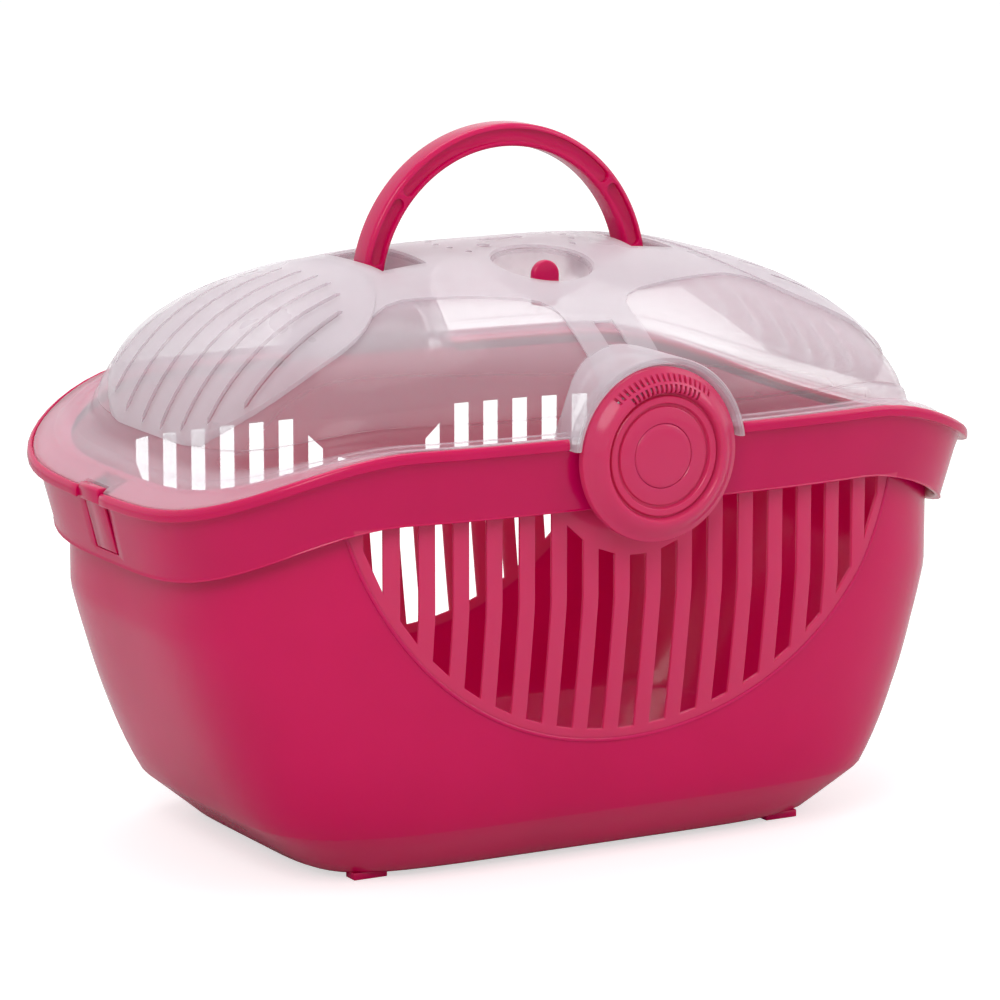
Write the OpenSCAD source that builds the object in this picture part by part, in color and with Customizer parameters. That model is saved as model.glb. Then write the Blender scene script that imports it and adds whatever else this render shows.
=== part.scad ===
// Open-topped pet carrier: a moulded tub with grilles, a clear domed lid, two round side
// latches, a folding carry handle, a turn knob in the lid and a spring clip at each end.
// X is the length, -Y the front, Z up. The origin is the middle of the floor under the feet.

/* [Tub] */
// Overall length of the rim
rim_length = 500; // [440:5:560]
// Overall width of the rim, without the latches
rim_width = 342; // [320:1:365]
// Height of the underside of the rim lip at the middle of the long sides
rim_z = 238; // [225:0.5:255]
// How far the rim falls towards each end
rim_fall = 37.5; // [20:0.5:42]
// Half length of the level stretch of the rim
rim_level_half = 138; // [100:1:180]
// Length of the base
base_length = 310; // [290:1:340]
// Width of the base
base_width = 198; // [180:1:225]
// Thickness of the moulded walls
wall = 2.2; // [1.6:0.1:3]
// Squareness of the plan outline
plan_power = 3.7; // [3.2:0.1:5]
// Squareness of the base outline
base_power = 6; // [4:0.1:7]
// Height of the chamfered stretch above the base
base_step_h = 27; // [15:1:45]

/* [Rim] */
// Height of the rim lip
lip_h = 6; // [4:0.5:10]
// How far the lip stands out from the top of the skirt
lip_out = 4.5; // [2:0.5:8]
// Height of the skirt below the lip
skirt_h = 35; // [20:0.5:45]
// How far the skirt draws in towards its lower edge
skirt_draft = 8.5; // [4:0.5:10]
// Distance from the outside of the lip to the outside of the tub wall
wall_inset = 20; // [17.5:0.5:24]
// Width of the upstand round the lid seat
upstand = 2.5; // [1.5:0.1:4]
// Depth of the lid seat below the top of the lip
seat_depth = 2.8; // [2:0.1:4]

/* [Feet] */
// Height of the feet
foot_h = 3; // [2:0.5:6]
// Length of a foot
foot_length = 20; // [15:1:40]
// Width of a foot
foot_width = 10; // [6:1:16]
// Distance of the feet from the middle, along the length
foot_x = 129; // [100:1:136]
// Distance of the feet from the middle, across the width
foot_y = 86; // [60:1:90]

/* [Grille] */
// Number of slots in each long side
slot_count = 17; // [9:2:17]
// Distance from slot to slot
slot_pitch = 19.1; // [16:0.5:24]
// Width of a slot
slot_w = 10; // [6:0.5:13]
// Radius of the arc that ends the slots
grille_r = 167; // [120:0.5:180]
// Lowest point of the slots above the floor
grille_low_z = 78; // [55:0.5:95]
// Radius of the plain round pad behind each latch
pad_r = 57; // [52:1:65]
// Width of the raised border line round the grille
border_w = 2; // [1:0.5:4]
// Height of the raised border line
border_h = 1.2; // [0.6:0.1:2]

/* [Latches] */
// Largest radius of a latch disc
latch_r = 46.5; // [42:0.5:48]
// Height of the middle of a latch above the floor
latch_z = 231.5; // [226:0.5:238]
// Depth of a latch disc
latch_depth = 11; // [9:0.5:14]
// How far the back of a latch disc sits behind the front of the rim lip
latch_sink = 2.5; // [1.5:0.1:3]
// Wall thickness of a latch disc
latch_wall = 2.2; // [1.6:0.1:3]
// Radius of the round cap in the middle of a latch
cap_r = 17; // [12:0.5:19]
// Radius of the latch pivot pin
latch_pin_r = 2; // [1.5:0.1:2.5]
// Distance of the latch pivot below the middle of the disc
latch_pivot_drop = 36; // [32:0.5:38]
// Number of grip ribs in the outer row
grip_count = 19; // [9:2:25]
// Angle from rib slot to rib slot
grip_step = 4.6; // [3.5:0.1:5]

/* [Lid] */
// Height of the top of the lid above the floor
lid_top_z = 322.5; // [310:0.5:335]
// Wall thickness of the lid
lid_wall = 2.4; // [1.8:0.1:3.2]
// Width of the flat flange of the lid along the sides
flange_w = 13; // [9:0.5:16]
// Width of the flat flange of the lid at its two ends
flange_end_w = 33; // [20:0.5:36]
// Height of the rounded step between flange and dome
bead_h = 9; // [5:0.5:14]
// How far the dome foot draws in above the flange
bead_in = 3; // [1:0.5:5]
// Height of the raised leaf panels over the dome
leaf_h = 2.4; // [1.5:0.1:5]
// Half width of a leaf panel at its broadest
leaf_half_w = 100; // [70:1:110]
// Distance of the broadest place of a leaf from the middle of the lid
leaf_mid_x = 158; // [150:1:170]
// Reach of a leaf from its broadest place towards the middle
leaf_in = 62; // [45:1:64]
// Number of slots in a leaf
leaf_slots = 8; // [2:1:12]
// Width of a leaf slot
leaf_slot_w = 4; // [2:0.5:6]
// Radius of the round collar that frames a latch
collar_r = 52; // [50:0.5:56]
// Gap between a latch disc and its collar
collar_gap = 1.5; // [1:0.1:3]
// How far the collar stands in front of the rim lip
collar_out = 4; // [2:0.5:8]
// Radius of the round top panel
panel_r = 64; // [56:1:70]
// Radius of the ring of air holes in the top
vent_ring_r = 40; // [34:1:50]
// Radius of an air hole
vent_r = 2; // [1.5:0.1:3]
// Height of the top panel and the straps over the dome
strap_h = 1.5; // [0.8:0.1:3]
// Width of a strap
strap_w = 15; // [8:0.5:20]
// Distance of a strap from the middle of the lid
strap_x = 13.5; // [10:0.5:30]
// Number of places in the ring of air holes
vent_count = 20; // [10:2:28]

/* [Handle] */
// Outer radius of the handle bow
handle_r = 89; // [86:0.5:94]
// Thickness of the bow, measured along the radius
handle_t = 12.7; // [9:0.1:15]
// Depth of the bow, front to back
handle_depth = 16; // [12:0.5:20]
// Distance of the middle of the bow's arc below the top of the lid
handle_arc_drop = 23.5; // [20:0.5:27]
// Height of the handle pivot above the middle of the arc
handle_pivot_rise = 6.5; // [5:0.5:8]
// Radius of the rounded lower end of each leg
handle_eye_r = 7; // [6:0.5:8]
// Radius of the pivot pins
handle_pin_r = 4; // [3:0.1:5]
// Length of each pivot pin
handle_pin_l = 22; // [20:0.5:28]
// Depth of the pockets moulded in the bow
handle_pocket = 3; // [1:0.5:5]
// Half length of the lid socket that a leg folds in
socket_half_l = 34; // [33:1:40]

/* [Turn knob] */
// Distance of the knob from the middle of the lid
knob_y = 50; // [46:1:54]
// Radius of the round finger bowl at the lid surface
bowl_sphere_r = 32; // [28:0.5:36]
// Depth of the bottom of the bowl below the top of the lid
bowl_drop = 23; // [20:0.5:25]
// Width of the knob's fin
fin_w = 16; // [10:0.5:20]
// Thickness of the fin
fin_t = 4.5; // [3:0.5:7]
// Distance of the top of the fin below the top of the lid
fin_drop = 4; // [1:0.5:8]
// Radius of the knob's stem
stem_r = 3; // [2:0.1:4]

/* [End clips] */
// Width of an end clip
clip_w = 24; // [16:1:30]
// Width of the slot beside a clip
clip_slot = 2.5; // [1.5:0.1:4]
// Length of the clip's tongue below the rim lip
clip_tongue = 27; // [20:0.5:28.5]
// How far the clip's hook reaches over the lid seat
clip_hook = 4; // [2:0.5:6]

/* [Clearances] */
// Radial running clearance of pins in bores
run_fit = 0.05; // [0.01:0.01:0.1]
// Gap between pieces that move past each other
move_gap = 0.5; // [0.3:0.1:1]
// Gap between the lid flange and the upstand
lid_gap = 0.7; // [0.5:0.1:1.2]

/* [Hidden] */

pink = "#d4125f";
clear_white = "#e9e6ea";

// Points round each plan outline
ring_n = 64;
rim_a = rim_length / 2;
rim_b = rim_width / 2;
base_a = base_length / 2;
base_b = base_width / 2;
wall_a = rim_a - wall_inset;
wall_b = rim_b - wall_inset;
// Length over which the rim falls, past the level stretch
fall_run = 260;
// Underside of the lip, above the base
rim_rise = rim_z - foot_h;
// Height above the base at which the wall reaches its full outline
bulge_h = 150;
bulge_power = 0.5;
side_bulge_power = 0.38;
seat_z = rim_z + lip_h - seat_depth;
skirt_thick = wall;
// The skirt's lower edge falls faster than the lip, by this factor
skirt_fall = 1.18;

// Latch
latch_back_y = rim_b - latch_sink;
latch_pivot_y = latch_back_y - 7;
latch_pivot_z = latch_z - latch_pivot_drop;
ear_inner_x = 6;
ear_outer_x = 12.5;
lug_t = 6;
lug_r = latch_pin_r + 2.2;
notch_half = collar_r + 1;
notch_z = rim_z - 1;

// Lid
flange_a = rim_a - upstand - lid_gap;
flange_b = rim_b - upstand - lid_gap;
flange_z = seat_z + 0.6;
foot_a = flange_a - flange_end_w - bead_in;
foot_b = flange_b - flange_w - bead_in;
dome_z = flange_z + lid_wall + bead_h;
// Exponents of the dome's arcs along and across
long_p = 2.6;
long_q = 1.32;
cross_p = 1.65;
// How far the plan outline goes over to an ellipse at the top of the dome
top_round = 0.3;
dome_steps = [0, 0.15, 0.3, 0.45, 0.58, 0.7, 0.8, 0.88, 0.94, 0.98];

// Handle
handle_arc_z = lid_top_z - handle_arc_drop;
handle_pivot_z = handle_arc_z + handle_pivot_rise;
leg_in = handle_r - handle_t;
socket_gap = 1.5;
socket_wall = 1.8;
// Room inwards of a leg, for the bow when it leans over
socket_in = 12.5;
socket_w = socket_in + handle_t + socket_gap;
socket_mid_x = leg_in - socket_in + socket_w / 2;
socket_floor_z = handle_pivot_z - handle_eye_r - socket_gap;

// Knob
bowl_wall = 2;
bowl_floor_z = lid_top_z - bowl_drop;
fin_top_z = lid_top_z - fin_drop;
bowl_z = bowl_floor_z + bowl_sphere_r;

// Clip
clip_pivot_z = rim_z - rim_fall - clip_tongue;

// Smooth step from 0 to 1
function ease(t) = let(c = max(0, min(1, t))) c * c * (3 - 2 * c);
// How far the rim has fallen at a distance x from the middle; ease(run fraction) sets the scale
end_ease = ease((rim_a - rim_level_half) / fall_run);
function fall(x) = rim_fall * ease((abs(x) - rim_level_half) / fall_run) / end_ease;
function spow(v, p) = sign(v) * pow(abs(v), p);
// One point of a rounded rectangular outline
function plan_point(a, b, p, t) = [a * spow(cos(t), 2 / p), b * spow(sin(t), 2 / p)];
// A ring of points that follows the falling rim by the share k
function ring(a, b, z, k, p = plan_power) =
    [for (i = [0 : ring_n - 1])
        let(q = plan_point(a, b, p, 360 * i / ring_n)) [q.x, q.y, z - k * fall(q.x)]];
// A ring set in from the outside of the lip
function rim_ring(inset, z, k = 1) = ring(rim_a - inset, rim_b - inset, z, k);
// Share of the way from base outline to wall outline at height h above the base
function bulge(h, power) = h <= base_step_h
    ? bulge(base_step_h + 0.001, power) * h / base_step_h
    : pow(min(1, h / bulge_h), power);
// A ring of the wall at height h, drawn in by inset
function wall_ring(h, inset) =
    let(s = bulge(h, bulge_power), sb = bulge(h, side_bulge_power))
    ring(base_a + (wall_a - base_a) * s - inset, base_b + (wall_b - base_b) * sb - inset,
        foot_h + h, h / rim_rise, base_power + (plan_power - base_power) * s);

// Closed solid through a stack of rings, with flat end faces
module loft(rings) {
    n = len(rings[0]);
    last = len(rings) - 1;
    polyhedron(
        points = [for (r = rings) each r],
        faces = concat(
            [[for (i = [0 : n - 1]) i]],
            [[for (i = [n - 1 : -1 : 0]) last * n + i]],
            [for (k = [0 : last - 1], i = [0 : n - 1])
                [k * n + i, (k + 1) * n + i, (k + 1) * n + (i + 1) % n]],
            [for (k = [0 : last - 1], i = [0 : n - 1])
                [k * n + i, (k + 1) * n + (i + 1) % n, k * n + (i + 1) % n]]),
        convexity = 8);
}

wall_steps = [base_step_h / 2, base_step_h, 52, 75, 100, 125, bulge_h];

// Outer and inner skin of the tub with its folded rim
module tub_body() {
    under_z = seat_z - wall;
    skirt_low = rim_z - skirt_h;
    loft(concat(
        [wall_ring(0, 0)],
        [for (h = wall_steps) wall_ring(h, 0)],
        [rim_ring(wall_inset, under_z),
         rim_ring(lip_out + skirt_thick, under_z),
         rim_ring(lip_out + skirt_draft + skirt_thick, skirt_low, skirt_fall),
         rim_ring(lip_out + skirt_draft, skirt_low, skirt_fall),
         rim_ring(lip_out, rim_z),
         rim_ring(0, rim_z),
         rim_ring(0, rim_z + lip_h),
         rim_ring(upstand, rim_z + lip_h),
         rim_ring(upstand, seat_z),
         rim_ring(wall_inset / 2, seat_z),
         rim_ring(wall_inset + wall, seat_z)],
        [for (i = [len(wall_steps) - 1 : -1 : 0]) wall_ring(wall_steps[i], wall)],
        [wall_ring_floor()]));
}
function wall_ring_floor() = ring(base_a - wall, base_b - wall, foot_h + wall, 0, base_power);

// Flat outline of the grille's slots, drawn from the front
module grille_slots() {
    intersection() {
        for (k = [0 : slot_count - 1])
            translate([(k - (slot_count - 1) / 2) * slot_pitch - slot_w / 2, 0])
                square([slot_w, skirt_bottom_z()]);
        difference() {
            translate([0, grille_low_z + grille_r])
                circle(r = grille_r, $fn = 96);
            translate([0, latch_z])
                circle(r = pad_r, $fn = 64);
        }
    }
}
function skirt_bottom_z() = rim_z - skirt_h + wall;

// Raised line that follows the arc of the grille
module grille_border() {
    difference() {
        grille_arc_plate();
        tub_outside(-wall / 2);
    }
}

// Arched plate that the border line is cut from
module grille_arc_plate() {
    intersection() {
        rotate([90, 0, 0])
            linear_extrude(height = rim_b)
                intersection() {
                    translate([0, grille_low_z + grille_r])
                        difference() {
                            circle(r = grille_r + 5 + border_w, $fn = 64);
                            circle(r = grille_r + 5, $fn = 64);
                        }
                    translate([-rim_a, 0])
                        square([rim_length, skirt_bottom_z()]);
                }
        tub_outside(border_h);
    }
}

// Solid of the tub's outside, grown by g
module tub_outside(g) {
    loft(concat(
        [wall_ring(0, -g)],
        [for (h = wall_steps) wall_ring(h, -g)],
        [ring(wall_a + g, wall_b + g, rim_z - rim_fall, 0)]));
}

// Shelf and pivot ears behind one latch, on the front side
module latch_seat() {
    translate([-notch_half - wall, -rim_b + lip_out + wall / 2, notch_z - wall])
        cube([2 * notch_half + 2 * wall, wall_inset - lip_out + wall / 2, wall]);
    for (s = [-1, 1])
        translate([s * (ear_inner_x + ear_outer_x) / 2, 0, latch_pivot_z]) {
            rotate([0, 90, 0])
                translate([0, -latch_pivot_y, 0])
                    cylinder(r = lug_r, h = ear_outer_x - ear_inner_x, center = true, $fn = 48);
            translate([-(ear_outer_x - ear_inner_x) / 2, -latch_pivot_y, -lug_r])
                cube([ear_outer_x - ear_inner_x, latch_pivot_y - wall_b + wall / 2, 2 * lug_r]);
        }
}

module latch_seat_cuts() {
    translate([-notch_half, -rim_b - 1, notch_z])
        cube([2 * notch_half, wall_inset + wall + 2, lip_h + 10]);
    translate([-25, -latch_pivot_y, latch_pivot_z])
        rotate([0, 90, 0])
            cylinder(r = latch_pin_r + run_fit, h = 50, $fn = 48);
}

// Window in the skirt for one clip, on the +X end
module clip_window() {
    z0 = clip_pivot_z - move_gap;
    translate([rim_a - lip_out - skirt_draft - wall - 3, -clip_w / 2 - clip_slot, z0])
        cube([30, clip_w + 2 * clip_slot, 60]);
}

module tub_shell() {
    color(pink)
        difference() {
            union() {
                tub_body();
                for (a = [0, 180])
                    rotate([0, 0, a]) {
                        grille_border();
                        latch_seat();
                    }
                for (sx = [-1, 1], sy = [-1, 1])
                    translate([sx * foot_x - foot_length / 2, sy * foot_y - foot_width / 2, 0])
                        cube([foot_length, foot_width, foot_h + wall / 2]);
            }
            rotate([90, 0, 0])
                linear_extrude(height = 2 * rim_b, center = true)
                    grille_slots();
            for (a = [0, 180])
                rotate([0, 0, a]) {
                    latch_seat_cuts();
                    clip_window();
                }
        }
}

// Outline of a latch disc's section: radius and height over its back
function disc_section() = let(r = latch_r, d = latch_depth, w = latch_wall, c = cap_r + 0.2) [
    [r, 0], [r, 0.33 * d], [r - 0.5, 0.38 * d], [r - 2, 0.45 * d], [r - 5, 0.68 * d],
    [r - 8, 0.89 * d], [r - 9.5, 0.97 * d], [r - 11, d], [r - 12.4, 0.95 * d],
    [r - 13.2, 0.8 * d], [r - 13.4, 0.62 * d], [r - 14.5, 0.62 * d], [r - 14.7, 0.78 * d],
    [r - 18.4, 0.78 * d], [r - 18.7, 0.58 * d], [r - 20.4, 0.58 * d], [r - 20.7, 0.7 * d],
    [c, 0.7 * d], [c, 0.58 * d - w], [r - 13, 0.58 * d - w], [r - 12, 0.85 * d - w],
    [r - 11, d - w], [r - 9, 0.92 * d - w], [r - 5.5, 0.66 * d - w], [r - 3.5, 0.46 * d - w],
    [r - w, 0]];

module latch_disc() {
    color(pink)
        translate([0, -latch_back_y, latch_z])
            rotate([90, 0, 0])
                difference() {
                    union() {
                        rotate_extrude($fn = 128)
                            polygon(disc_section());
                        for (s = [-1, 1])
                            translate([s * (ear_outer_x + move_gap + lug_t / 2), 0, 0])
                                latch_lug();
                    }
                    translate([0, -latch_pivot_drop, -7])
                        rotate([0, 90, 0])
                            cylinder(r = latch_pin_r + run_fit, h = 60, center = true, $fn = 48);
                    grip_row(latch_r - 7, 5.8, grip_count, 0.5);
                    grip_row(latch_r - 12.6, 4.4, grip_count - 4, 0.75);
                }
}

// Lug that carries the disc on its pin
module latch_lug() {
    translate([0, -latch_pivot_drop, -7])
        rotate([0, 90, 0])
            cylinder(r = lug_r, h = lug_t, center = true, $fn = 48);
    translate([-lug_t / 2, -latch_pivot_drop - lug_r + 0.4, -7])
        cube([lug_t, 2 * lug_r - 2, 7 + 0.5 * latch_depth]);
}

// A row of narrow radial slots over the top of the disc, from the share `low` of its depth
module grip_row(r0, l, n, low) {
    for (k = [0 : n - 1])
        rotate([0, 0, 90 + (k - (n - 1) / 2) * grip_step])
            translate([r0, -0.7, low * latch_depth])
                cube([l, 1.4, latch_depth]);
}

module latch_cap() {
    d = latch_depth;
    back = 0.58 * d - latch_wall - 0.2;
    color(pink)
        translate([0, -latch_back_y, latch_z])
            rotate([90, 0, 0])
                rotate_extrude($fn = 96)
                    polygon([[0, back - 2], [cap_r + 2, back - 2], [cap_r + 2, back],
                        [cap_r, back], [cap_r, 0.7 * d], [cap_r - 1, 0.76 * d], [0, 0.79 * d]]);
}

module latch_pin() {
    half = ear_outer_x + move_gap + lug_t;
    color(pink)
        translate([0, -latch_pivot_y, latch_pivot_z])
            rotate([0, 90, 0])
                cylinder(r = latch_pin_r, h = 2 * half, center = true, $fn = 48);
}

module front_latch_disc() { latch_disc(); }
module front_latch_cap() { latch_cap(); }
module front_latch_pin() { latch_pin(); }
module rear_latch_disc() { rotate([0, 0, 180]) latch_disc(); }
module rear_latch_cap() { rotate([0, 0, 180]) latch_cap(); }
module rear_latch_pin() { rotate([0, 0, 180]) latch_pin(); }

// One ring of the dome at the share s of its height, with the skin drawn in by g
function dome_ring(s, g) =
    let(a = foot_a * pow(1 - pow(s, long_q), 1 / long_p),
        b = foot_b * pow(1 - pow(s, cross_p), 1 / cross_p),
        p = plan_power - top_round * s,
        rise = lid_top_z - dome_z)
    [for (i = [0 : ring_n - 1])
        let(q = plan_point(a - g, b - g, p, 360 * i / ring_n))
        [q.x, q.y, dome_z + s * rise - (1 - s) * fall(q.x) - g * s]];
function dome_cap(g) = [for (q = dome_ring(0.995, g)) [q.x, q.y, lid_top_z - g]];
// A ring of the flange, set in by inset along the sides and by more at the ends
function flange_ring(inset, z) =
    let(extra = (flange_end_w - flange_w) * min(1, inset / flange_w))
    ring(flange_a - inset - extra, flange_b - inset, z, 1);

// Outside of the lid as a solid, grown by g, that reaches down past the flange
module lid_solid(g) {
    low = rim_z - rim_fall - 20;
    loft(concat(
        [ring(foot_a + g, foot_b + g, low, 0)],
        [for (s = dome_steps) dome_ring(s, -g)],
        [dome_cap(-g)]));
}

module lid_skin() {
    w = lid_wall;
    loft(concat(
        [dome_cap(w)],
        [for (i = [len(dome_steps) - 1 : -1 : 0]) dome_ring(dome_steps[i], w)],
        [flange_ring(flange_w + w, flange_z + 1),
         flange_ring(flange_w, flange_z),
         flange_ring(flange_w / 2, flange_z),
         flange_ring(0, flange_z),
         flange_ring(0, flange_z + w),
         flange_ring(flange_w / 2, flange_z + w),
         flange_ring(flange_w - 1, flange_z + w),
         flange_ring(flange_w, flange_z + w + 0.5 * bead_h),
         flange_ring(flange_w + 0.4 * bead_in, flange_z + w + 0.85 * bead_h)],
        [for (s = dome_steps) dome_ring(s, 0)],
        [dome_cap(0)]));
}

// Half width of a leaf panel at a place x
leaf_out = foot_a + 4 - leaf_mid_x;
function leaf_edge(x) = x < leaf_mid_x
    ? leaf_half_w * sqrt(max(0, 1 - pow((leaf_mid_x - x) / leaf_in, 2)))
    : leaf_half_w * pow(max(0, 1 - pow((x - leaf_mid_x) / leaf_out, 2.6)), 1 / 2.6);
function leaf_x(t) = leaf_mid_x - leaf_in * cos(90 * min(1, 2 * t)) + leaf_out * sin(90 * max(0, 2 * t - 1));

module leaf_outline() {
    steps = 16;
    polygon(concat(
        [for (k = [0 : steps]) let(x = leaf_x(k / steps)) [x, leaf_edge(x)]],
        [for (k = [steps - 1 : -1 : 1]) let(x = leaf_x(k / steps)) [x, -leaf_edge(x)]]));
}

// One slot that runs along the leaf at the share f of its half width, bent a little inwards
module leaf_slot(f) {
    start_x = leaf_mid_x - 40 * sqrt(1 - f * f);
    stop_x = leaf_mid_x + (leaf_out - 4) * pow(1 - pow(abs(f) * 1.04, 2.6), 1 / 2.6);
    polygon(concat(
        [for (t = [0, 0.4, 1]) [start_x + t * (stop_x - start_x), leaf_slot_y(f, t) - leaf_slot_w / 2]],
        [for (t = [1, 0.4, 0]) [start_x + t * (stop_x - start_x), leaf_slot_y(f, t) + leaf_slot_w / 2]]));
}
function leaf_slot_y(f, t) = f * leaf_half_w * (1 - 0.14 * pow(1 - t, 2));

module leaf_slots_flat() {
    for (k = [0 : leaf_slots - 1])
        leaf_slot((2 * k - leaf_slots + 1) / (leaf_slots + 0.8));
}

// The upright prism that one leaf panel is cut from, over the +X half of the dome
module leaf_prism() {
    translate([0, 0, rim_z - rim_fall])
        linear_extrude(height = 200)
            leaf_outline();
}

// Latch collar on the front side: a half drum with a back plate
module collar() {
    front = rim_b + collar_out;
    inner = latch_r + collar_gap;
    intersection() {
        union() {
            translate([0, 0, latch_z])
                rotate([90, 0, 0])
                    difference() {
                        translate([0, 0, foot_b - 42])
                            cylinder(r = collar_r, h = front - foot_b + 42, $fn = 64);
                        translate([0, 0, foot_b - 60])
                            cylinder(r = inner, h = front, $fn = 64);
                    }
            translate([0, -latch_back_y + 6 + wall, latch_z])
                rotate([90, 0, 0])
                    cylinder(r = inner + 1, h = wall, $fn = 48);
        }
        translate([-collar_r - 1, -front - 1, notch_z + move_gap])
            cube([2 * collar_r + 2, front, 100]);
    }
}

// Room in a collar behind its back plate, open to the inside of the lid
module collar_room() {
    r = latch_r + collar_gap - 2;
    back_y = latch_back_y - 6 - wall;
    intersection() {
        translate([0, 0, latch_z])
            rotate([90, 0, 0])
                cylinder(r = r, h = back_y, $fn = 48);
        translate([-r, -back_y, flange_z + 6])
            cube([2 * r, back_y - foot_b + 52, 100]);
    }
}

// Straps from the top of the lid down to a collar
module straps() {
    for (s = [-1, 1])
        translate([s * strap_x - strap_w / 2, -foot_b - 6, flange_z + 1])
            cube([strap_w, 70, 100]);
}

// Sockets, bearings and bowl that hang under the lid's top
module lid_bosses() {
    for (s = [-1, 1]) {
        translate([s * socket_mid_x, 0, socket_floor_z - socket_wall + 30])
            cube([socket_w + 2 * socket_wall, 2 * socket_half_l + 2 * socket_wall, 60], center = true);
        translate([s * (leg_in - handle_pin_l / 2 - 1), 0, handle_pivot_z - handle_pin_r + 27])
            cube([handle_pin_l + 1, 2 * handle_pin_r + 6, 60], center = true);
    }
    translate([0, -knob_y, bowl_z])
        sphere(r = bowl_sphere_r + bowl_wall, $fn = 32);
}

module lid_cuts() {
    for (a = [0, 180])
        rotate([0, 0, a])
            collar_room();
    for (s = [-1, 1]) {
        translate([s * socket_mid_x, 0, socket_floor_z + 30])
            cube([socket_w, 2 * socket_half_l, 60], center = true);
        translate([s * (leg_in - handle_pin_l / 2), 0, handle_pivot_z])
            rotate([0, 90, 0])
                cylinder(r = handle_pin_r + run_fit, h = handle_pin_l + 0.6, center = true, $fn = 48);
    }
    translate([0, -knob_y, bowl_z])
        sphere(r = bowl_sphere_r, $fn = 32);
    translate([0, -knob_y, bowl_floor_z - 10])
        cylinder(r = stem_r + run_fit, h = 20, $fn = 48);
    for (k = [0 : vent_count - 1]) {
        v = vent_ring_r * [cos(360 * k / vent_count), sin(360 * k / vent_count)];
        if (norm(v + [0, knob_y]) > bowl_sphere_r + 2)
            translate([v.x, v.y, lid_top_z - 20])
                cylinder(r = vent_r, h = 40, $fn = 12);
    }
    translate([-18, -14, lid_top_z - 20])
        cylinder(r = 2 * vent_r, h = 40, $fn = 24);
    for (a = [0, 180])
        rotate([0, 0, a]) {
            translate([0, 0, rim_z - rim_fall])
                linear_extrude(height = 200)
                    leaf_slots_flat();
            translate([rim_a - upstand - clip_hook - 0.7, -clip_w / 2 - 2.2, rim_z - rim_fall - 20])
                cube([30, clip_w + 4.4, lip_h + 35]);
        }
}

// Leaf panels, straps and collars that stand out of the dome's skin
module lid_raised() {
    difference() {
        union() {
            intersection() {
                lid_solid(leaf_h);
                for (a = [0, 180])
                    rotate([0, 0, a])
                        leaf_prism();
            }
            intersection() {
                lid_solid(strap_h);
                union() {
                    translate([0, 0, lid_top_z - 30])
                        cylinder(r = panel_r, h = 40, $fn = 48);
                    for (a = [0, 180])
                        rotate([0, 0, a])
                            straps();
                }
            }
            for (a = [0, 180])
                rotate([0, 0, a])
                    collar();
        }
        lid_solid(-lid_wall / 2);
    }
}

module lid_shell() {
    color(clear_white)
        difference() {
            union() {
                lid_skin();
                intersection() {
                    lid_bosses();
                    lid_solid(0);
                }
                lid_raised();
            }
            lid_cuts();
        }
}

// Section of the handle bow, with its corners cut
module bow_section() {
    c = 1.5;
    x0 = leg_in;
    x1 = handle_r;
    h = handle_depth / 2;
    polygon([[x0 + c, -h], [x1 - c, -h], [x1, -h + c], [x1, h - c],
        [x1 - c, h], [x0 + c, h], [x0, h - c], [x0, -h + c]]);
}

module carry_handle() {
    eye_x = leg_in + handle_t / 2;
    color(pink)
        difference() {
            union() {
                translate([0, 0, handle_pivot_z])
                    handle_arc();
                for (s = [-1, 1])
                    translate([s * eye_x, 0, handle_pivot_z])
                        rotate([0, 90, 0])
                            cylinder(r = handle_eye_r, h = handle_t, center = true, $fn = 48);
                for (s = [-1, 1])
                    translate([s * (leg_in - handle_pin_l / 2 + 0.5), 0, handle_pivot_z])
                        rotate([0, 90, 0])
                            cylinder(r = handle_pin_r, h = handle_pin_l + 1, center = true, $fn = 48);
            }
            handle_pockets();
        }
}

// Half ring above the pivots; its arc centre lies below them
module handle_arc() {
    drop = handle_pivot_z - handle_arc_z;
    intersection() {
        translate([0, 0, -drop])
            rotate([90, 0, 0])
                rotate_extrude(angle = 180, $fn = 128)
                    bow_section();
        translate([-handle_r - 1, -handle_depth, 0])
            cube([2 * handle_r + 2, 2 * handle_depth, handle_r + 1]);
    }
}

// Three shallow pockets in the front and rear faces of the bow
module handle_pockets() {
    border = 2.8;
    for (side = [0, 180], span = [[14, 22], [43, 94], [144, 22]])
        rotate([0, 0, side])
            translate([0, -handle_depth / 2 - 1, handle_arc_z])
                rotate([90, 0, 0])
                    rotate([0, 0, span[0]])
                        translate([0, 0, -handle_pocket - 1])
                            rotate_extrude(angle = span[1], $fn = 128)
                                translate([leg_in + border, 0])
                                    square([handle_t - 2 * border, handle_pocket + 1]);
}

module turn_knob() {
    base_z = bowl_floor_z + 1.4;
    stem_low_z = bowl_floor_z - bowl_wall - 4;
    round_r = fin_w / 2;
    color(pink)
        translate([0, -knob_y, 0])
            union() {
                translate([0, 0, base_z])
                    cylinder(r = round_r, h = 2.2, $fn = 48);
                translate([0, 0, stem_low_z])
                    cylinder(r = stem_r, h = base_z + 1 - stem_low_z, $fn = 48);
                rotate([90, 0, 0])
                    linear_extrude(height = fin_t, center = true) {
                        translate([0, fin_top_z - round_r])
                            circle(r = round_r, $fn = 64);
                        translate([-round_r, base_z + 1])
                            square([fin_w, fin_top_z - round_r - base_z - 1]);
                    }
            }
}

module knob_retainer() {
    color(pink)
        translate([0, -knob_y, bowl_floor_z - bowl_wall - 3])
            difference() {
                cylinder(r = 2.4 * stem_r, h = 2.6, $fn = 48);
                translate([0, 0, -1])
                    cylinder(r = stem_r + run_fit, h = 6, $fn = 48);
            }
}

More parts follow.
